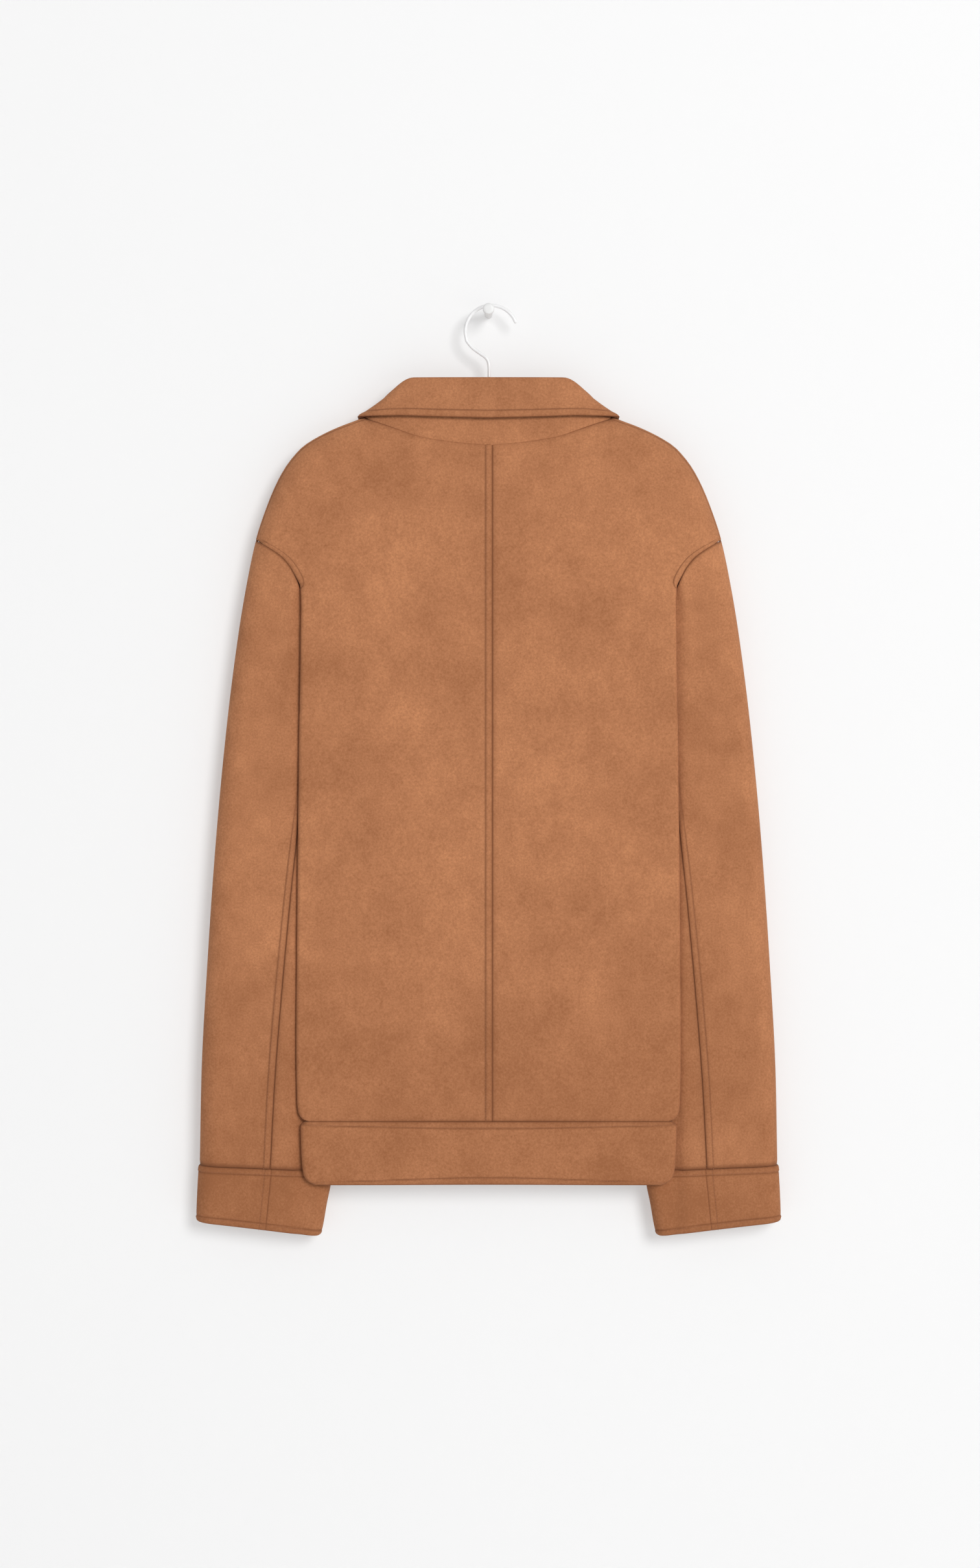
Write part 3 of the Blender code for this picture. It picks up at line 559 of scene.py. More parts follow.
def stand_line(share):
    """The stand from its allowance, tucked behind the neck seam, up to its top and a little way back down."""
    seam, inner_top, _, _, _ = collar_section(share)
    low = seam + np.array([0, 0, SEAM_GAP + 0.6])
    way = math.copysign(1, seam[1]) if abs(seam[1]) > 0.5 else seam[1] * 2
    tucked = [seam - np.array([0, 2.4 * way, 5.0]), seam - np.array([0, 2.0 * way, 2.2])]
    high = inner_top - np.array([0, 0, STAND_DROP + 1.7])
    bend = high - np.array([0, 0, 3.0])
    rise = [low + (bend - low) * t for t in np.linspace(0, 1, 10)]
    return tucked + rise + [high + (bend - high) * t for t in (0.5, 0)]


FALL_SHARES = list(np.linspace(0, 0.7, 12)[1:])
FALL_SHARES += [0.74, 0.78, 0.82, 0.86, 0.89, 0.92, 0.945, 0.965, 0.98, 0.992, 1.0]


def fall_line(share):
    """Up the inside of the roll, over it and down the outside to the edge, with a soft belly in the fall."""
    _, inner_top, crest, out, edge = collar_section(share)
    up = np.array([0, 0, 1.0])
    line = [inner_top - up * STAND_DROP, inner_top - up * STAND_DROP / 2, inner_top]
    for degrees in range(165, -1, -15):
        turn = math.radians(degrees)
        line.append(crest + (out * math.cos(turn) + up * math.sin(turn)) * COLLAR_ROLL_RADIUS)
    outer = line[-1]
    reach = float(np.linalg.norm(edge - outer))
    for t in FALL_SHARES:
        belly = math.sin(math.pi * t) * min(1.2, reach * 0.02)
        line.append(outer + (edge - outer) * t + out * belly)
    return line


# ---------------------------------------------------------------- surfaces
def normals_of(grid, ring, outward):
    """Unit normals of a grid of points, turned so that their mean at the picked index faces outward."""
    rows = np.gradient(grid, axis=0)
    if ring:
        columns = (np.roll(grid, -1, axis=1) - np.roll(grid, 1, axis=1)) / 2
    else:
        columns = np.gradient(grid, axis=1)
    normals = np.cross(columns, rows)
    normals /= np.linalg.norm(normals, axis=2, keepdims=True) + 1e-9
    (row, column), direction = outward
    if np.dot(normals[row, column], direction) < 0:
        normals = -normals
    return normals


def lengths_along(grid, axis):
    steps = np.linalg.norm(np.diff(grid, axis=axis), axis=2)
    start = np.zeros_like(np.take(steps, [0], axis=axis))
    return np.cumsum(np.concatenate([start, steps], axis=axis), axis=axis)


def edge_distances(grid):
    """How far each point is from each of the four edges, along the cloth, in millimetres."""
    down, across = lengths_along(grid, 0), lengths_along(grid, 1)
    return {
        "first_row": down,
        "last_row": down[-1:, :] - down,
        "first_column": across,
        "last_column": across[:, -1:] - across,
    }


def crease_height(table, along, heights):
    """Sum of the soft troughs of a table at these places (positive depth is inward)."""
    total = np.zeros_like(heights)
    count = len(table["from_z"])
    first = "from_x" if "from_x" in table else "from_share"
    last = "to_x" if "to_x" in table else "to_share"
    scale = 1.0 if first == "from_x" else 110.0
    for i in range(count):
        a = np.array([table[first][i] * scale, table["from_z"][i]], float)
        b = np.array([table[last][i] * scale, table["to_z"][i]], float)
        reach = np.linalg.norm(b - a)
        way = (b - a) / reach
        dx, dz = along * scale - a[0], heights - a[1]
        forward = (dx * way[0] + dz * way[1]) / reach
        # A slight bow keeps a crease from reading as a ruled line.
        bow = 0.06 * reach * np.sin(np.clip(forward, 0, 1) * math.pi) * (-1) ** i
        aside = dz * way[0] - dx * way[1] - bow
        ends = np.clip(forward * (1 - forward) * 4, 0, 1) ** 0.8
        total += table["depth"][i] * ends * np.exp(-((aside / table["width"][i]) ** 2))
    return total


TOPSTITCH = 6.0


def seam_relief(grid, seams, distance=TOPSTITCH):
    """How the cloth dips into its seams and stands up over a turned allowance, and the painted shade that darkens
    it in the seams and stitch grooves.
    """
    distances = edge_distances(grid)
    height = np.zeros(grid.shape[:2])
    shade = np.zeros(grid.shape[:2])
    for edge, kind in seams.items():
        d = distances[edge]
        if kind != "free":
            height -= 0.5 * np.exp(-((d / 1.6) ** 2))
            # Painted shade in the seam's gap and the dip beside it.
            shade = np.maximum(shade, 0.8 * np.exp(-((d / 0.8) ** 2)) + 0.2 * np.exp(-((d / 4) ** 2)))
        if kind in ("stitched", "free_stitched"):
            height += 0.4 * np.clip(d / 1.5, 0, 1) * np.clip((distance + 1 - d) / 1.4, 0, 1)
            height -= 0.4 * np.exp(-(((d - distance) / 0.8) ** 2))
            # Painted shade in the stitching's groove.
            shade = np.maximum(shade, 0.72 * np.exp(-(((d - distance) / 0.75) ** 2)))
    return height, shade


SHEETS = {}


def new_piece(name, mesh, materials):
    obj = bpy.data.objects.new(name, mesh)
    bpy.context.scene.collection.objects.link(obj)
    for material in materials:
        mesh.materials.append(material)
    return obj


def finished(obj, sharp=50):
    """The object with its modifiers applied, smooth apart from its sharp edges."""
    graph = bpy.context.evaluated_depsgraph_get()
    mesh = bpy.data.meshes.new_from_object(obj.evaluated_get(graph))
    obj.modifiers.clear()
    obj.data = mesh
    mesh.polygons.foreach_set("use_smooth", [True] * len(mesh.polygons))
    mesh.set_sharp_from_angle(angle=math.radians(sharp))
    return obj


def cloth(name, node, grid, thickness, outward, seams, relief=None, ring=False,
          hem_shade_strength=1.0, marks=None):
    """A wall of cloth through a grid of points in millimetres, with its seams and creases worked in."""
    normals = normals_of(grid, ring, outward)
    height, shade = seam_relief(grid, seams)
    if relief is not None:
        height = height + relief
    if marks is not None:
        height, shade = height + marks[0], np.maximum(shade, marks[1])
    surface = grid + normals * height[..., None]
    SHEETS[name] = {"surface": surface, "normals": normals, "thickness": thickness, "ring": ring}
    width = grid.shape[1]
    ends = width if ring else width - 1
    faces = []
    for r in range(grid.shape[0] - 1):
        for c in range(ends):
            a, b = r * width + c, r * width + (c + 1) % width
            faces.append((a, b, b + width, a + width))
    a, b, c = (surface.reshape(-1, 3)[faces[0][k]] for k in (0, 1, 2))
    flipped = np.dot(np.cross(b - a, c - b), normals[0, 0]) < 0
    if flipped:
        faces = [face[::-1] for face in faces]
    mesh = bpy.data.meshes.new(name)
    mesh.from_pydata((surface.reshape(-1, 3) * MM).tolist(), [], faces)
    # seam_shade holds painted shade for the seams and stitch grooves.
    mesh.attributes.new("seam_shade", "FLOAT", "POINT").data.foreach_set("value", shade.reshape(-1))
    # Painted shade toward the hem, scaled per piece: the lower cloth turns away from the light above and is
    # stored as 'low'.
    low = np.clip((-surface[..., 2] - 540) / 200, 0, 1) * hem_shade_strength
    mesh.attributes.new("low", "FLOAT", "POINT").data.foreach_set("value", low.reshape(-1))
    obj = new_piece(name, mesh, [suede_material()])
    wall = obj.modifiers.new("wall", "SOLIDIFY")
    wall.thickness = thickness * MM
    wall.offset = 0
    wall.use_quality_normals = True
    rim = obj.modifiers.new("rim", "BEVEL")
    rim.width = 0.3 * thickness * MM
    rim.segments = 2
    rim.limit_method = "ANGLE"
    rim.angle_limit = math.radians(60)
    finished(obj)
    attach(obj, "root")
    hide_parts(node)
    down, across = lengths_along(grid, 0), lengths_along(grid, 1)
    if ring:
        closing = np.linalg.norm(grid[:, 0] - grid[:, -1], axis=1)
        flat_width = float((across[:, -1] + closing).max())
    else:
        flat_width = float(across[:, -1].max())
    flat_length = float(down[-1].max())
    area = sum(polygon.area for polygon in obj.data.polygons) / 2
    flat = (flat_width * MM, flat_length * MM)
    area = min(area, flat[0] * flat[1])
    return obj


# ---------------------------------------------------------------- materials
def shader_of(name):
    material = bpy.data.materials.new(name)
    material.use_nodes = True
    nodes = material.node_tree.nodes
    return material, nodes, material.node_tree.links, nodes["Principled BSDF"]


def noise(nodes, links, where, scale, detail=3.0, roughness=0.5, stretch=(1, 1, 1)):
    """Noise on the piece's own coordinates, in features per metre."""
    mapping = nodes.new("ShaderNodeMapping")
    mapping.inputs["Scale"].default_value = stretch
    made = nodes.new("ShaderNodeTexNoise")
    made.inputs["Scale"].default_value = scale
    made.inputs["Detail"].default_value = detail
    made.inputs["Roughness"].default_value = roughness
    links.new(where, mapping.inputs["Vector"])
    links.new(mapping.outputs["Vector"], made.inputs["Vector"])
    return made.outputs["Fac"]


def mapped(nodes, links, value, low, high, to_low, to_high):
    made = nodes.new("ShaderNodeMapRange")
    for socket, number in zip(("From Min", "From Max", "To Min", "To Max"), (low, high, to_low, to_high)):
        made.inputs[socket].default_value = number
    links.new(value, made.inputs["Value"])
    return made.outputs["Result"]


def product(nodes, links, *values):
    total = values[0]
    for value in values[1:]:
        made = nodes.new("ShaderNodeMath")
        made.operation = "MULTIPLY"
        links.new(total, made.inputs[0])
        if isinstance(value, (int, float)):
            made.inputs[1].default_value = value
        else:
            links.new(value, made.inputs[1])
        total = made.outputs[0]
    return total


def attribute(nodes, name):
    made = nodes.new("ShaderNodeAttribute")
    made.attribute_name = name
    return made.outputs["Fac"]


# The suede's colour times these: where the nap lies down, where it stands up, and the painted shade inside a
# seam.
NAP_DOWN, NAP_UP, PAINTED_SEAM_SHADE = (0.72, 0.67, 0.62), (1.3, 1.34, 1.34), (0.42, 0.36, 0.34)


def toned(colour, shares):
    return (*[c * share for c, share in zip(colour, shares)], 1)


def suede_material():
    """Napped suede: cloudy patches, a fine short pile, and painted shade in the seams, the stitch grooves and
    toward the hem.
    """
    if "napped_suede" in bpy.data.materials:
        return bpy.data.materials["napped_suede"]
    colours = bpy.context.scene.jacket_colours
    material, nodes, links, shader = shader_of("napped_suede")
    where = nodes.new("ShaderNodeTexCoord").outputs["Object"]
    cloud = mapped(nodes, links, noise(nodes, links, where, 14, 4, 0.62), 0.32, 0.68, 0.88, 1.12)
    patch = mapped(nodes, links, noise(nodes, links, where, 60, 5, 0.7, (1, 1, 0.7)), 0.3, 0.7, 0.92, 1.08)
    grain = noise(nodes, links, where, 520, 5, 0.75)
    speck = mapped(nodes, links, grain, 0.3, 0.7, 0.79, 1.21)
    # Painted shade toward the hem: the 'low' attribute pulls the nap colour toward the ramp's darker end.
    low = mapped(nodes, links, attribute(nodes, "low"), 0, 2, 1, 0.8)
    value = product(nodes, links, cloud, patch, speck, low)
    nap = nodes.new("ShaderNodeValToRGB")
    nap.color_ramp.elements[0].color = toned(colours.suede, NAP_DOWN)
    nap.color_ramp.elements[1].color = toned(colours.suede, NAP_UP)
    middle = nap.color_ramp.elements.new(0.5)
    middle.color = (*colours.suede, 1)
    links.new(mapped(nodes, links, value, 0.7, 1.3, 0, 1), nap.inputs["Fac"])
    tint = nodes.new("ShaderNodeMix")
    tint.data_type = "RGBA"
    # Painted shade: the seams and stitch grooves mix toward a darker brown.
    links.new(attribute(nodes, "seam_shade"), tint.inputs[0])
    links.new(nap.outputs["Color"], tint.inputs[6])
    tint.inputs[7].default_value = toned(colours.suede, PAINTED_SEAM_SHADE)
    links.new(tint.outputs[2], shader.inputs["Base Color"])
    shader.inputs["Roughness"].default_value = 0.95
    shader.inputs["Specular IOR Level"].default_value = 0.12
    shader.inputs["Sheen Weight"].default_value = 0.16
    shader.inputs["Sheen Roughness"].default_value = 0.45
    shader.inputs["Sheen Tint"].default_value = (0.9, 0.62, 0.42, 1)
    bump = nodes.new("ShaderNodeBump")
    bump.inputs["Strength"].default_value = 0.5
    bump.inputs["Distance"].default_value = 0.0004
    links.new(grain, bump.inputs["Height"])
    links.new(bump.outputs["Normal"], shader.inputs["Normal"])
    return material


def plain_material(name, colour, roughness, grain_scale, coat=0.0):
    """A moulded, painted or spun finish with a little unevenness in its colour and its surface."""
    if name in bpy.data.materials:
        return bpy.data.materials[name]
    material, nodes, links, shader = shader_of(name)
    where = nodes.new("ShaderNodeTexCoord").outputs["Object"]
    shade = mapped(nodes, links, noise(nodes, links, where, grain_scale, 3, 0.6), 0.3, 0.7, 0.95, 1.03)
    tint = nodes.new("ShaderNodeMix")
    tint.data_type = "RGBA"
    tint.blend_type = "MULTIPLY"
    tint.inputs[0].default_value = 1
    tint.inputs[6].default_value = (*colour, 1)
    links.new(shade, tint.inputs[7])
    links.new(tint.outputs[2], shader.inputs["Base Color"])
    rough = mapped(nodes, links, noise(nodes, links, where, grain_scale * 3, 2, 0.5), 0.3, 0.7,
                   roughness * 0.85, roughness * 1.15)
    links.new(rough, shader.inputs["Roughness"])
    shader.inputs["Coat Weight"].default_value = coat
    bump = nodes.new("ShaderNodeBump")
    bump.inputs["Strength"].default_value = 0.15
    bump.inputs["Distance"].default_value = 0.0002
    links.new(noise(nodes, links, where, grain_scale * 6, 2, 0.5), bump.inputs["Height"])
    links.new(bump.outputs["Normal"], shader.inputs["Normal"])
    return material


def horn_material():
    """Streaked brown horn for the buttons."""
    if "polished_horn" in bpy.data.materials:
        return bpy.data.materials["polished_horn"]
    colours = bpy.context.scene.jacket_colours
    material, nodes, links, shader = shader_of("polished_horn")
    where = nodes.new("ShaderNodeTexCoord").outputs["Object"]
    streak = noise(nodes, links, where, 160, 4, 0.6, (0.35, 1, 1.6))
    ramp = nodes.new("ShaderNodeValToRGB")
    ramp.color_ramp.elements[0].position = 0.35
    ramp.color_ramp.elements[0].color = (*[c * 0.45 for c in colours.horn], 1)
    ramp.color_ramp.elements[1].position = 0.68
    ramp.color_ramp.elements[1].color = (*[c * 1.7 for c in colours.horn], 1)
    links.new(streak, ramp.inputs["Fac"])
    links.new(ramp.outputs["Color"], shader.inputs["Base Color"])
    shader.inputs["Roughness"].default_value = 0.28
    shader.inputs["Coat Weight"].default_value = 0.2
    return material


# ---------------------------------------------------------------- stitching
def seam_line(name, edge, distance, low=-1e9, high=1e9):
    """Points and outward normals of a line this far from an edge of a piece, on top of its outer face."""
    sheet = SHEETS[name]
    surface, normals = sheet["surface"], sheet["normals"]
    if edge in ("first_row", "last_row"):
        surface, normals = np.swapaxes(surface, 0, 1), np.swapaxes(normals, 0, 1)
    if edge.startswith("last"):
        surface, normals = surface[:, ::-1], normals[:, ::-1]
    points, lies = [], []
    for row, facing in zip(surface, normals):
        along = np.concatenate([[0], np.cumsum(np.linalg.norm(np.diff(row, axis=0), axis=1))])
        if along[-1] < distance:
            continue
        point = np.array([np.interp(distance, along, row[:, c]) for c in range(3)])
        lie = np.array([np.interp(distance, along, facing[:, c]) for c in range(3)])
        lie /= np.linalg.norm(lie)
        if low <= point[2] <= high:
            points.append(point + lie * sheet["thickness"] / 2)
            lies.append(lie)
    if sheet["ring"] and edge.endswith("row"):
        points.append(points[0])
        lies.append(lies[0])
    return np.array(points), np.array(lies)


def stitch_tree():
    """Geometry Nodes that lay equal stitches along every line of a mesh, turned to the cloth under them."""
    if "lay_stitches" in bpy.data.node_groups:
        return bpy.data.node_groups["lay_stitches"]
    tree = bpy.data.node_groups.new("lay_stitches", "GeometryNodeTree")
    tree.interface.new_socket("Geometry", in_out="INPUT", socket_type="NodeSocketGeometry")
    for name, value in (("Pitch", 0.0026), ("Stitch Length", 0.002), ("Thread Width", 0.0006)):
        socket = tree.interface.new_socket(name, in_out="INPUT", socket_type="NodeSocketFloat")
        socket.default_value = value
    tree.interface.new_socket("Seed", in_out="INPUT", socket_type="NodeSocketInt").default_value = 5
    tree.interface.new_socket("Thread", in_out="INPUT", socket_type="NodeSocketMaterial")
    tree.interface.new_socket("Geometry", in_out="OUTPUT", socket_type="NodeSocketGeometry")
    nodes, links = tree.nodes, tree.links
    given = nodes.new("NodeGroupInput").outputs
    curve = nodes.new("GeometryNodeMeshToCurve")
    spread = nodes.new("GeometryNodeResampleCurve")
    spread.mode = "LENGTH"
    links.new(given["Geometry"], curve.inputs["Mesh"])
    links.new(curve.outputs["Curve"], spread.inputs["Curve"])
    links.new(given["Pitch"], spread.inputs["Length"])
    thread = nodes.new("GeometryNodeMeshUVSphere")
    thread.inputs["Segments"].default_value = 6
    thread.inputs["Rings"].default_value = 5
    thread.inputs["Radius"].default_value = 0.5
    size = nodes.new("ShaderNodeCombineXYZ")
    links.new(given["Stitch Length"], size.inputs["X"])
    links.new(given["Thread Width"], size.inputs["Y"])
    links.new(given["Thread Width"], size.inputs["Z"])
    shaped = nodes.new("GeometryNodeTransform")
    links.new(thread.outputs["Mesh"], shaped.inputs["Geometry"])
    links.new(size.outputs["Vector"], shaped.inputs["Scale"])
    tangent = nodes.new("GeometryNodeInputTangent")
    run = nodes.new("FunctionNodeAlignRotationToVector")
    run.axis = "X"
    links.new(tangent.outputs["Tangent"], run.inputs["Vector"])
    lie = nodes.new("GeometryNodeInputNamedAttribute")
    lie.data_type = "FLOAT_VECTOR"
    lie.inputs["Name"].default_value = "lie"
    flat = nodes.new("FunctionNodeAlignRotationToVector")
    flat.axis = "Z"
    flat.pivot_axis = "X"
    links.new(run.outputs["Rotation"], flat.inputs["Rotation"])
    links.new(lie.outputs["Attribute"], flat.inputs["Vector"])
    wander = nodes.new("FunctionNodeRandomValue")
    wander.inputs[2].default_value = -0.09
    wander.inputs[3].default_value = 0.09
    links.new(given["Seed"], wander.inputs["Seed"])
    swing = nodes.new("FunctionNodeAxisAngleToRotation")
    swing.inputs["Axis"].default_value = (0, 0, 1)
    links.new(wander.outputs[1], swing.inputs["Angle"])
    turned_by = nodes.new("FunctionNodeRotateRotation")
    turned_by.rotation_space = "LOCAL"
    links.new(flat.outputs["Rotation"], turned_by.inputs["Rotation"])
    links.new(swing.outputs["Rotation"], turned_by.inputs["Rotate By"])
    laid = nodes.new("GeometryNodeInstanceOnPoints")
    links.new(spread.outputs["Curve"], laid.inputs["Points"])
    links.new(shaped.outputs["Geometry"], laid.inputs["Instance"])
    links.new(turned_by.outputs["Rotation"], laid.inputs["Rotation"])
    real = nodes.new("GeometryNodeRealizeInstances")
    paint = nodes.new("GeometryNodeSetMaterial")
    links.new(laid.outputs["Instances"], real.inputs["Geometry"])
    links.new(real.outputs["Geometry"], paint.inputs["Geometry"])
    links.new(given["Thread"], paint.inputs["Material"])
    out = nodes.new("NodeGroupOutput")
    links.new(paint.outputs["Geometry"], out.inputs["Geometry"])
    return tree


def stitched(name, lines):
    """One piece that holds the stitches along these lines of points and normals."""
    sizes = bpy.context.scene.jacket_sizes
    colours = bpy.context.scene.jacket_colours
    points = np.concatenate([line for line, _ in lines]) * MM
    lies = np.concatenate([lie for _, lie in lines])
    edges, start = [], 0
    for line, _ in lines:
        edges += [(start + k, start + k + 1) for k in range(len(line) - 1)]
        start += len(line)
    mesh = bpy.data.meshes.new(name)
    mesh.from_pydata(points.tolist(), edges, [])
    mesh.attributes.new("lie", "FLOAT_VECTOR", "POINT").data.foreach_set("vector", lies.reshape(-1))
    thread = plain_material("spun_thread", colours.thread, 0.7, 900)
    obj = new_piece(name, mesh, [thread])
    modifier = obj.modifiers.new("stitches", "NODES")
    tree = stitch_tree()
    modifier.node_group = tree
    values = {"Pitch": sizes.stitch_pitch, "Stitch Length": sizes.stitch_length,
              "Thread Width": sizes.thread_width, "Seed": 5, "Thread": thread}
    for item in tree.interface.items_tree:
        if item.item_type == "SOCKET" and item.in_out == "INPUT" and item.name in values:
            modifier[item.identifier] = values[item.name]
    finished(obj, 180)
    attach(obj, "root")
    return obj


# ---------------------------------------------------------------- hard pieces
def tube_mesh(name, points, radii, sides, rounded=True):
    """A closed round tube along points in metres, with a radius for each, and domed ends."""
    points = [Vector(p) for p in points]
    radii = list(radii)
    if rounded:
        first, last = (points[0] - points[1]).normalized(), (points[-1] - points[-2]).normalized()
        start, end, r0, r1 = points[0].copy(), points[-1].copy(), radii[0], radii[-1]
        for degrees in (30, 60, 80):
            reach, narrow = math.sin(math.radians(degrees)), math.cos(math.radians(degrees))
            points.insert(0, start + first * r0 * reach)
            radii.insert(0, r0 * narrow)
            points.append(end + last * r1 * reach)
            radii.append(r1 * narrow)
    shape = bmesh.new()
    rings = []
    side = Vector((0, 1, 0))
    for i, (point, radius) in enumerate(zip(points, radii)):
        along = (points[min(i + 1, len(points) - 1)] - points[max(i - 1, 0)]).normalized()
        side = (side - along * side.dot(along)).normalized()
        other = along.cross(side)
        rings.append([shape.verts.new(point + (side * math.cos(t) + other * math.sin(t)) * radius)
                      for t in (2 * math.pi * k / sides for k in range(sides))])
    for low, high in zip(rings, rings[1:]):
        for k in range(sides):
            shape.faces.new((low[k], low[(k + 1) % sides], high[(k + 1) % sides], high[k]))
    shape.faces.new(rings[0][::-1])
    shape.faces.new(rings[-1])
    bmesh.ops.recalc_face_normals(shape, faces=shape.faces)
    mesh = bpy.data.meshes.new(name)
    shape.to_mesh(mesh)
    shape.free()
    return mesh


def smooth_path(points, per_span):
    """Points read from a curve through these ones."""
    ends = [2 * np.array(points[0]) - np.array(points[1]), 2 * np.array(points[-1]) - np.array(points[-2])]
    through = [ends[0]] + [np.array(p, float) for p in points] + [ends[1]]
    path = []
    for i in range(1, len(through) - 2):
        p0, p1, p2, p3 = through[i - 1:i + 3]
        for k in range(per_span):
            t = k / per_span
            path.append(0.5 * (2 * p1 + (p2 - p0) * t + (2 * p0 - 5 * p1 + 4 * p2 - p3) * t**2
                               + (3 * p1 - p0 - 3 * p2 + p3) * t**3))
    return path + [np.array(points[-1], float)]


def hard_piece(name, mesh, material, node, sharp=40):
    obj = new_piece(name, mesh, [material])
    finished(obj, sharp)
    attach(obj, "root")
    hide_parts(*([node] if isinstance(node, str) else node))
    return obj


def turned_mesh(name, profile, sides, centre, wells=()):
    """A closed solid turned about a Y axis from (radius, y) pairs, with round wells sunk in its last face."""
    shape = bmesh.new()
    rings = []
    for radius, y in profile:
        if radius == 0:
            rings.append([shape.verts.new((centre[0], centre[1] + y, centre[2]))])
            continue
        ring = []
        for k in range(sides):
            angle = 2 * math.pi * k / sides
            x, z = radius * math.cos(angle), radius * math.sin(angle)
            depth = y
            for well_x, well_z, well_r, well_d in wells:
                away = math.hypot(x - well_x, z - well_z) / well_r
                if y > 0 and away < 1.3:
                    depth -= well_d * (1 - smooth_step((away - 0.75) / 0.5))
            ring.append(shape.verts.new((centre[0] + x, centre[1] + depth, centre[2] + z)))
        rings.append(ring)
    for a, b in zip(rings, rings[1:]):
        for k in range(sides):
            quad = [a[k % len(a)], a[(k + 1) % len(a)], b[(k + 1) % len(b)], b[k % len(b)]]
            corners = list(dict.fromkeys(quad))
            if len(corners) > 2:
                shape.faces.new(corners)
    bmesh.ops.recalc_face_normals(shape, faces=shape.faces)
    mesh = bpy.data.meshes.new(name)
    shape.to_mesh(mesh)
    shape.free()
    return mesh


def button_profile(radius, thick):
    """From the middle of the back, round the rim to the middle of the front, which is dished."""
    back = [(0, -thick / 2), (radius * 0.8, -thick / 2), (radius * 0.95, -thick * 0.36),
            (radius, -thick * 0.1)]
    rim = [(radius, thick * 0.15), (radius * 0.97, thick * 0.36), (radius * 0.9, thick / 2),
           (radius * 0.82, thick * 0.46), (radius * 0.74, thick * 0.3), (radius * 0.66, thick * 0.22)]
    dish = [(radius * share, thick * 0.2) for share in np.linspace(0.6, 0.04, 22)]
    return back + rim + dish + [(0, thick * 0.2)]


def thread_bar(points, radius):
    return tube_mesh("bar", points, [radius] * len(points), 8)


# ---------------------------------------------------------------- sizes and colours that a user may change
class JacketSizes(bpy.types.PropertyGroup):
    suede: bpy.props.FloatProperty(
        name="Suede", description="Thickness of one layer of suede", default=0.0014, min=0.001, max=0.003,
        unit="LENGTH")
    folded: bpy.props.FloatProperty(
        name="Folded Suede", description="Thickness of the band, cuffs and collar", default=0.0024, min=0.001,
        max=0.003, unit="LENGTH")
    stitch_pitch: bpy.props.FloatProperty(
        name="Stitch Pitch", description="Distance from one stitch to the next", default=0.0026, min=0.002,
        max=0.006, unit="LENGTH")
    stitch_length: bpy.props.FloatProperty(
        name="Stitch Length", description="Length of the thread that shows in one stitch", default=0.002,
        min=0.001, max=0.005, unit="LENGTH")
    thread_width: bpy.props.FloatProperty(
        name="Thread Width", description="Thickness of the topstitching thread", default=0.00055, min=0.0003,
        max=0.0015, unit="LENGTH")
    button_radius: bpy.props.FloatProperty(
        name="Button Radius", description="Radius of a front button", default=0.009, min=0.006, max=0.012,
        unit="LENGTH")


class JacketColours(bpy.types.PropertyGroup):
    suede: bpy.props.FloatVectorProperty(
        name="Suede", description="Colour of the napped face", default=(0.455, 0.19, 0.087), min=0, max=1,
        subtype="COLOR")
    thread: bpy.props.FloatVectorProperty(
        name="Thread", description="Colour of the topstitching", default=(0.33, 0.13, 0.055), min=0, max=1,
        subtype="COLOR")
    horn: bpy.props.FloatVectorProperty(
        name="Horn", description="Colour of the buttons", default=(0.12, 0.06, 0.03), min=0, max=1,
        subtype="COLOR")
    plastic: bpy.props.FloatVectorProperty(
        name="Hanger", description="Colour of the hanger", default=(0.9, 0.9, 0.9), min=0, max=1,
        subtype="COLOR")
    peg: bpy.props.FloatVectorProperty(
        name="Peg", description="Colour of the wall peg", default=(0.82, 0.82, 0.81), min=0, max=1,
        subtype="COLOR")
    wall: bpy.props.FloatVectorProperty(
        name="Wall", description="Colour of the wall and floor", default=(0.9, 0.9, 0.9), min=0, max=1,
        subtype="COLOR")


def lap_lift(x):
    """How far the left front stands out over the right one near the centre."""
    return LAP_DEPTH * (1 - smooth_step((x - LAP_STEP_START) / (LAP_STEP_END - LAP_STEP_START)))


def band_lift(x):
    """The same for the band, whose suede is folded double."""
    return lap_lift(x) * BAND_LAP


def body_relief(grid, table):
    """Creases of a body panel, and its slight blousing over the band."""
    x, z = grid[..., 0], grid[..., 2]
    wide = np.array(np.where(np.abs(x) < 172, 1.0, 0.0))
    relief = -crease_height(table, x, z) * wide * np.clip((-z - 150) / 60, 0, 1)
    relief += 1.5 * np.exp(-(((z + 737) / 10) ** 2)) * np.clip((172 - np.abs(x)) / 30, 0, 1)
    return relief


def outer_face(grid, back):
    """An index on the face that shows, and the way that it faces."""
    return (grid.shape[0] // 2, 12), np.array([0, -1 if back else 1, 0])


class JacketBack(bpy.types.Operator):
    """Make the two back panels, which meet in the centre back seam."""

    bl_idname = "jacket.back"
    bl_label = "Back Panels"

    def execute(self, context):
        thickness = context.scene.jacket_sizes.suede * 1000
        half_gap = SEAM_GAP / 2
        for word, side, start in (("left", -1, half_gap - CENTRE_BACK_X), ("right", 1, half_gap + CENTRE_BACK_X)):
            grid = body_rows(side, True, start)
            seams = {"first_row": "plain", "last_row": "plain", "last_column": "stitched",
                     "first_column": "stitched" if side < 0 else "plain"}
            cloth(f"cloth_back_{word}", f"back_{word}", grid, thickness, outer_face(grid, True), seams,
                  body_relief(grid, BACK_CREASES))
        return {"FINISHED"}


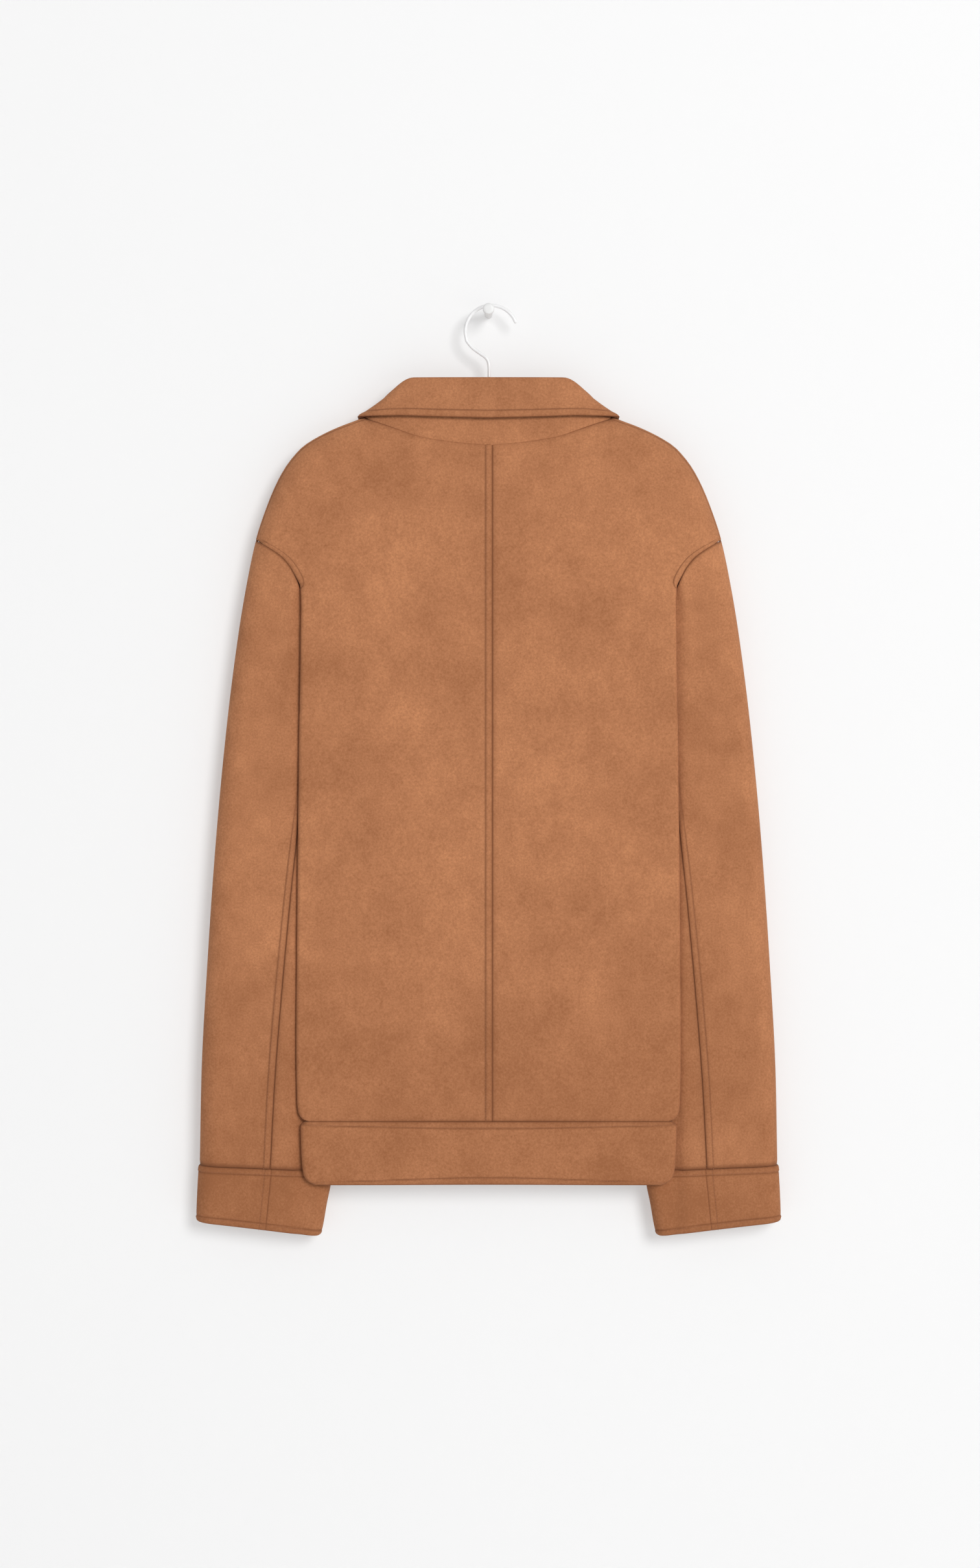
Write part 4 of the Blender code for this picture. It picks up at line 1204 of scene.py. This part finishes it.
class JacketFronts(bpy.types.Operator):
    """Make the two fronts, the left one lapped over the right."""

    bl_idname = "jacket.fronts"
    bl_label = "Fronts"

    def execute(self, context):
        thickness = context.scene.jacket_sizes.suede * 1000
        for word, side, start, lift in (("left", -1, -LAP_LEFT_X, lap_lift),
                                        ("right", 1, LAP_RIGHT_X, no_lift)):
            grid = body_rows(side, False, start, lift)
            seams = {"first_row": "plain", "last_row": "plain", "last_column": "stitched",
                     "first_column": "free_stitched"}
            relief = body_relief(grid, FRONT_CREASES) * np.clip((np.abs(grid[..., 0]) - 20) / 25, 0, 1)
            cloth(f"cloth_front_{word}", f"front_{word}", grid, thickness, outer_face(grid, False), seams,
                  relief)
        return {"FINISHED"}


class JacketBand(bpy.types.Operator):
    """Make the hem band: one piece across the back and one on each front."""

    bl_idname = "jacket.band"
    bl_label = "Hem Band"

    def execute(self, context):
        thickness = context.scene.jacket_sizes.folded * 1000
        left, right = hem_rows(-1, True, 0), hem_rows(1, True, 0)
        whole = np.concatenate([left[:, ::-1], right[:, 1:]], axis=1)
        seams = {"first_row": "stitched", "last_row": "free_stitched"}
        middle = left.shape[1] - 1
        cloth("cloth_hem_back", "hem_back", whole, thickness, ((8, middle), TO_THE_ROOM), seams)
        for word, side, start, lift in (("left", -1, -LAP_LEFT_X, band_lift),
                                        ("right", 1, LAP_RIGHT_X, no_lift)):
            grid = hem_rows(side, False, start, lift)
            cloth(f"cloth_hem_front_{word}", f"hem_front_{word}", grid, thickness, outer_face(grid, False),
                  {**seams, "first_column": "free_stitched"})
        return {"FINISHED"}


class JacketSleeves(bpy.types.Operator):
    """Make the two-part sleeves, outer and under, that hang from the armholes."""

    bl_idname = "jacket.sleeves"
    bl_label = "Sleeves"

    def execute(self, context):
        thickness = context.scene.jacket_sizes.suede * 1000
        for word, side in (("left", -1), ("right", 1)):
            for part, stations in (("outer", outer_stations()), ("under", under_stations())):
                grid = sleeve_rows(side, stations)
                column = 4 if part == "outer" else len(stations) - 4
                seams = {"first_row": "plain", "last_row": "plain", "last_column": "plain",
                         "first_column": "stitched" if part == "outer" else "plain"}
                shares = np.array([share for _, share in stations])
                along = np.broadcast_to(shares[None, :], grid.shape[:2])
                relief = -crease_height(SLEEVE_CREASES, along, grid[..., 2])
                relief = relief * np.clip((along - 0.03) / 0.1, 0, 1) * np.clip((0.9 - along) / 0.2, 0, 1)
                cloth(f"cloth_sleeve_{part}_{word}", f"sleeve_{part}_{word}", grid, thickness,
                      ((30, column), TO_THE_ROOM), seams, relief)
        return {"FINISHED"}


class JacketCuffs(bpy.types.Operator):
    """Make the cuffs, one closed band round the end of each sleeve."""

    bl_idname = "jacket.cuffs"
    bl_label = "Cuffs"

    def execute(self, context):
        thickness = context.scene.jacket_sizes.folded * 1000
        for word, side in (("left", -1), ("right", 1)):
            grid = cuff_rows(side)
            behind = grid[..., 1] < MIDDLE_Y
            aside = np.abs(grid[..., 0]) - cuff_seam_x(grid[..., 2])
            gap, groove = np.where(behind, np.abs(aside), 99), np.where(behind, np.abs(aside - TOPSTITCH), 99)
            # Painted shade in the cuff's seam gap and in its stitching groove.
            marks = (-0.45 * np.exp(-((gap / 1.0) ** 2)) - 0.2 * np.exp(-((groove / 0.7) ** 2)),
                     np.maximum(0.95 * np.exp(-((gap / 0.7) ** 2)), 0.45 * np.exp(-((groove / 0.7) ** 2))))
            # The cuffs take a deeper painted shade toward the hem than the body does.
            cloth(f"cloth_cuff_{word}", f"cuff_{word}", grid, thickness, ((8, 15), TO_THE_ROOM),
                  {"first_row": "stitched", "last_row": "free_stitched"}, ring=True, hem_shade_strength=1.9,
                  marks=marks)
        return {"FINISHED"}


class JacketCollar(bpy.types.Operator):
    """Make the collar's stand and its fall, which rolls over and lies on the shoulders."""

    bl_idname = "jacket.collar"
    bl_label = "Collar"

    def execute(self, context):
        thickness = context.scene.jacket_sizes.folded * 1000
        middle = len(COLLAR_SHARES) - 1
        stand = round_the_neck(stand_line)
        cloth("cloth_collar_stand", "collar_stand", stand, thickness, ((middle, 7), TO_THE_ROOM),
              {"last_column": "free"})
        fall = round_the_neck(fall_line)
        cloth("cloth_collar_fall", "collar_fall", fall, thickness, ((middle, fall.shape[1] - 8), TO_THE_ROOM),
              {"last_column": "free_stitched", "first_row": "free_stitched", "last_row": "free_stitched",
               "first_column": "free"})
        return {"FINISHED"}


class JacketTopstitching(bpy.types.Operator):
    """Lay the topstitching along the seams and edges of every piece."""

    bl_idname = "jacket.topstitching"
    bl_label = "Topstitching"

    def execute(self, _context):
        body = [seam_line("cloth_back_left", "first_column", TOPSTITCH)]
        for word in ("left", "right"):
            for panel in (f"cloth_back_{word}", f"cloth_front_{word}"):
                body.append(seam_line(panel, "last_column", TOPSTITCH, low=UNDERARM + 6, high=ARMHOLE_TOP))
        body += [seam_line(f"cloth_front_{word}", "first_column", TOPSTITCH) for word in ("left", "right")]
        stitched("stitches_body", body)
        band = []
        for piece in ("cloth_hem_back", "cloth_hem_front_left", "cloth_hem_front_right"):
            band += [seam_line(piece, "first_row", TOPSTITCH - 0.6), seam_line(piece, "last_row", TOPSTITCH)]
        for word in ("left", "right"):
            band.append(seam_line(f"cloth_hem_front_{word}", "first_column", TOPSTITCH))
        stitched("stitches_band", band)
        for word in ("left", "right"):
            sleeve = [seam_line(f"cloth_sleeve_outer_{word}", "first_column", TOPSTITCH)]
            for edge in ("first_row", "last_row"):
                sleeve.append(seam_line(f"cloth_cuff_{word}", edge, TOPSTITCH - 1))
            sleeve.append(cuff_line(f"cloth_cuff_{word}", TOPSTITCH))
            stitched(f"stitches_sleeve_{word}", sleeve)
        stitched("stitches_collar", [seam_line("cloth_collar_fall", edge, 7.0)
                                     for edge in ("last_column", "first_row", "last_row")])
        return {"FINISHED"}


class JacketButtons(bpy.types.Operator):
    """Make the front buttons, dished and four-holed, each with its thread."""

    bl_idname = "jacket.buttons"
    bl_label = "Buttons"

    def execute(self, context):
        radius = context.scene.jacket_sizes.button_radius
        colours = context.scene.jacket_colours
        hole, spread = radius * 0.13, radius * 0.23
        wells = [(sx * spread, sz * spread, hole, 0.0011) for sx in (-1, 1) for sz in (-1, 1)]
        thread = plain_material("spun_thread", colours.thread, 0.7, 900)
        for node in BUTTON_NODES:
            low, high = (Vector(corner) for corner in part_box(node))
            centre, thick = (low + high) / 2, high.y - low.y
            mesh = turned_mesh(node, button_profile(radius, thick), 72, centre, wells)
            hard_piece(f"horn_{node}", mesh, horn_material(), node, 60)
            bars = bmesh.new()
            for sz in (-1, 1):
                front = centre.y + thick * 0.2
                path = [Vector((centre.x + x * spread, front + y, centre.z + sz * spread))
                        for x, y in THREAD_BEND]
                bars.from_mesh(thread_bar(path, THREAD_BAR_RADIUS))
            mesh = bpy.data.meshes.new(f"thread_{node}")
            bars.to_mesh(mesh)
            bars.free()
            obj = new_piece(f"thread_{node}", mesh, [thread])
            finished(obj, 60)
            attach(obj, "root")
        return {"FINISHED"}


class JacketHanger(bpy.types.Operator):
    """Make the hanger: its sloping arms inside the shoulders, and its round hook."""

    bl_idname = "jacket.hanger"
    bl_label = "Hanger"

    def execute(self, context):
        plastic = plain_material("moulded_plastic", context.scene.jacket_colours.plastic, 0.32, 70, coat=0.15)
        whole = [(-x, z) for x, z in ARM_PATH[:0:-1]] + ARM_PATH
        path = [Vector((x, MIDDLE_Y, z)) * MM for x, z in smooth_path(whole, 8)]
        arms = tube_mesh("arms", path, [ARM_RADIUS * MM] * len(path), 24, rounded=False)
        hard_piece("hanger_shoulders", arms, plastic, "hanger_arms", 60)
        bow = []
        for degrees in np.arange(HOOK_END_ANGLE, HOOK_START_ANGLE, 7):
            angle = math.radians(degrees)
            bow.append((HOOK_CENTRE[0] + HOOK_RADIUS * math.cos(angle),
                        HOOK_CENTRE[1] + HOOK_RADIUS * math.sin(angle)))
        path = [Vector((x, MIDDLE_Y, z)) * MM for x, z in smooth_path(bow + HOOK_STEM, 4)]
        hook = tube_mesh("hook", path, [WIRE_RADIUS * MM] * len(path), 20)
        hard_piece("hanger_bow", hook, plastic, "hanger_hook", 60)
        return {"FINISHED"}


class JacketPeg(bpy.types.Operator):
    """Make the wall peg, whose flat back touches the wall."""

    bl_idname = "jacket.peg"
    bl_label = "Wall Peg"

    def execute(self, context):
        paint = plain_material("painted_peg", context.scene.jacket_colours.peg, 0.45, 90, coat=0.05)
        profile = [(radius * MM, y * MM) for radius, y in zip(PEG["radius"], PEG["y"])]
        mesh = turned_mesh("peg", profile, 48, (0, 0, 0))
        hard_piece("peg_turned", mesh, paint, "wall_peg", 50)
        return {"FINISHED"}


# The stage, in metres: a wall that gives back part of its light and glows a little, and one broad lamp.
WALL_GLOW, WALL_TONE = 0.352, 0.66
WALL_Y, WALL_REACH, WALL_TOP, FLOOR_Z, FLOOR_NEAR = 0.0004, 6, 5, -1.6, -8
ROOM_LIGHT = 0.34
KEY_PLACE, KEY_AIM, KEY_SIZE, KEY_WATTS = (2.7, -6.6, 1.55), (0, 0, -0.45), 3.0, 304
CAMERA_PLACE, CAMERA_LENS, SENSOR_HEIGHT = (0.00135, -2.900, -0.4404), 47.27, 24


def one_sided(colour):
    """Matt paint that shows only from the front, so the jacket can be seen from the wall's side too."""
    material, nodes, links, shader = shader_of("matt_wall")
    shader.inputs["Base Color"].default_value = (*[c * WALL_TONE for c in colour], 1)
    shader.inputs["Roughness"].default_value = 0.9
    shader.inputs["Specular IOR Level"].default_value = 0.1
    shader.inputs["Emission Color"].default_value = (1, 1, 1, 1)
    shader.inputs["Emission Strength"].default_value = WALL_GLOW
    clear = nodes.new("ShaderNodeBsdfTransparent")
    choice = nodes.new("ShaderNodeMixShader")
    links.new(nodes.new("ShaderNodeNewGeometry").outputs["Backfacing"], choice.inputs["Fac"])
    links.new(shader.outputs["BSDF"], choice.inputs[1])
    links.new(clear.outputs["BSDF"], choice.inputs[2])
    links.new(choice.outputs["Shader"], nodes["Material Output"].inputs["Surface"])
    return material


def flat_sheet(name, corners, material):
    mesh = bpy.data.meshes.new(name)
    mesh.from_pydata(corners, [], [(0, 1, 2, 3)])
    obj = new_piece(name, mesh, [material])
    return obj


def lamp(name, place_at, towards, size, watts):
    light = bpy.data.lights.new(name, "AREA")
    light.shape = "DISK"
    light.size = size
    light.energy = watts
    obj = bpy.data.objects.new(name, light)
    obj.location = place_at
    obj.rotation_euler = (Vector(towards) - Vector(place_at)).to_track_quat("-Z", "Y").to_euler()
    bpy.context.scene.collection.objects.link(obj)


class JacketStage(bpy.types.Operator):
    """Set up the wall, floor, soft light and camera."""

    bl_idname = "jacket.stage"
    bl_label = "Wall, Light and Camera"

    def execute(self, context):
        scene = context.scene
        paint = one_sided(scene.jacket_colours.wall)
        wide = WALL_REACH
        wall = flat_sheet("wall", [(-wide, WALL_Y, FLOOR_Z), (wide, WALL_Y, FLOOR_Z), (wide, WALL_Y, WALL_TOP),
                                   (-wide, WALL_Y, WALL_TOP)], paint)
        wall.visible_shadow = False
        ground, _, _, shader = shader_of("pale_floor")
        shader.inputs["Base Color"].default_value = (*scene.jacket_colours.wall, 1)
        shader.inputs["Roughness"].default_value = 0.9
        flat_sheet("floor", [(-wide, FLOOR_NEAR, FLOOR_Z), (wide, FLOOR_NEAR, FLOOR_Z), (wide, wide, FLOOR_Z),
                             (-wide, wide, FLOOR_Z)], ground)
        world = bpy.data.worlds.new("soft_room")
        world.use_nodes = True
        world.node_tree.nodes["Background"].inputs["Color"].default_value = (1, 1, 1, 1)
        world.node_tree.nodes["Background"].inputs["Strength"].default_value = ROOM_LIGHT
        scene.world = world
        lamp("key", KEY_PLACE, KEY_AIM, KEY_SIZE, KEY_WATTS)
        scene.view_settings.view_transform = "Standard"
        data = bpy.data.cameras.new("camera")
        data.sensor_fit = "VERTICAL"
        data.sensor_height = SENSOR_HEIGHT
        data.lens = CAMERA_LENS
        camera = bpy.data.objects.new("camera", data)
        camera.location = CAMERA_PLACE
        camera.rotation_euler = (math.pi / 2, 0, 0)
        scene.collection.objects.link(camera)
        scene.camera = camera
        return {"FINISHED"}


class JacketPanel(bpy.types.Panel):
    """The sizes, the colours and a button for each step."""

    bl_idname = "VIEW3D_PT_jacket"
    bl_label = "Suede Jacket"
    bl_space_type = "VIEW_3D"
    bl_region_type = "UI"
    bl_category = "Jacket"

    def draw(self, context):
        for group in (context.scene.jacket_sizes, context.scene.jacket_colours):
            box = self.layout.box()
            for name in group.bl_rna.properties.keys():
                if name not in ("rna_type", "name"):
                    box.prop(group, name)
        for operator in OPERATORS:
            self.layout.operator(operator.bl_idname)


OPERATORS = (JacketStage, JacketBack, JacketFronts, JacketBand, JacketSleeves, JacketCuffs, JacketCollar,
             JacketTopstitching, JacketButtons, JacketHanger, JacketPeg)
CLASSES = (JacketSizes, JacketColours, *OPERATORS, JacketPanel)


def register():
    for made in CLASSES:
        bpy.utils.register_class(made)
    bpy.types.Scene.jacket_sizes = bpy.props.PointerProperty(type=JacketSizes)
    bpy.types.Scene.jacket_colours = bpy.props.PointerProperty(type=JacketColours)


def unregister():
    del bpy.types.Scene.jacket_sizes, bpy.types.Scene.jacket_colours
    for made in reversed(CLASSES):
        bpy.utils.unregister_class(made)


def main():
    register()
    for operator in OPERATORS:
        group, name = operator.bl_idname.split(".")
        getattr(getattr(bpy.ops, group), name)()


if __name__ == "__main__":
    main()
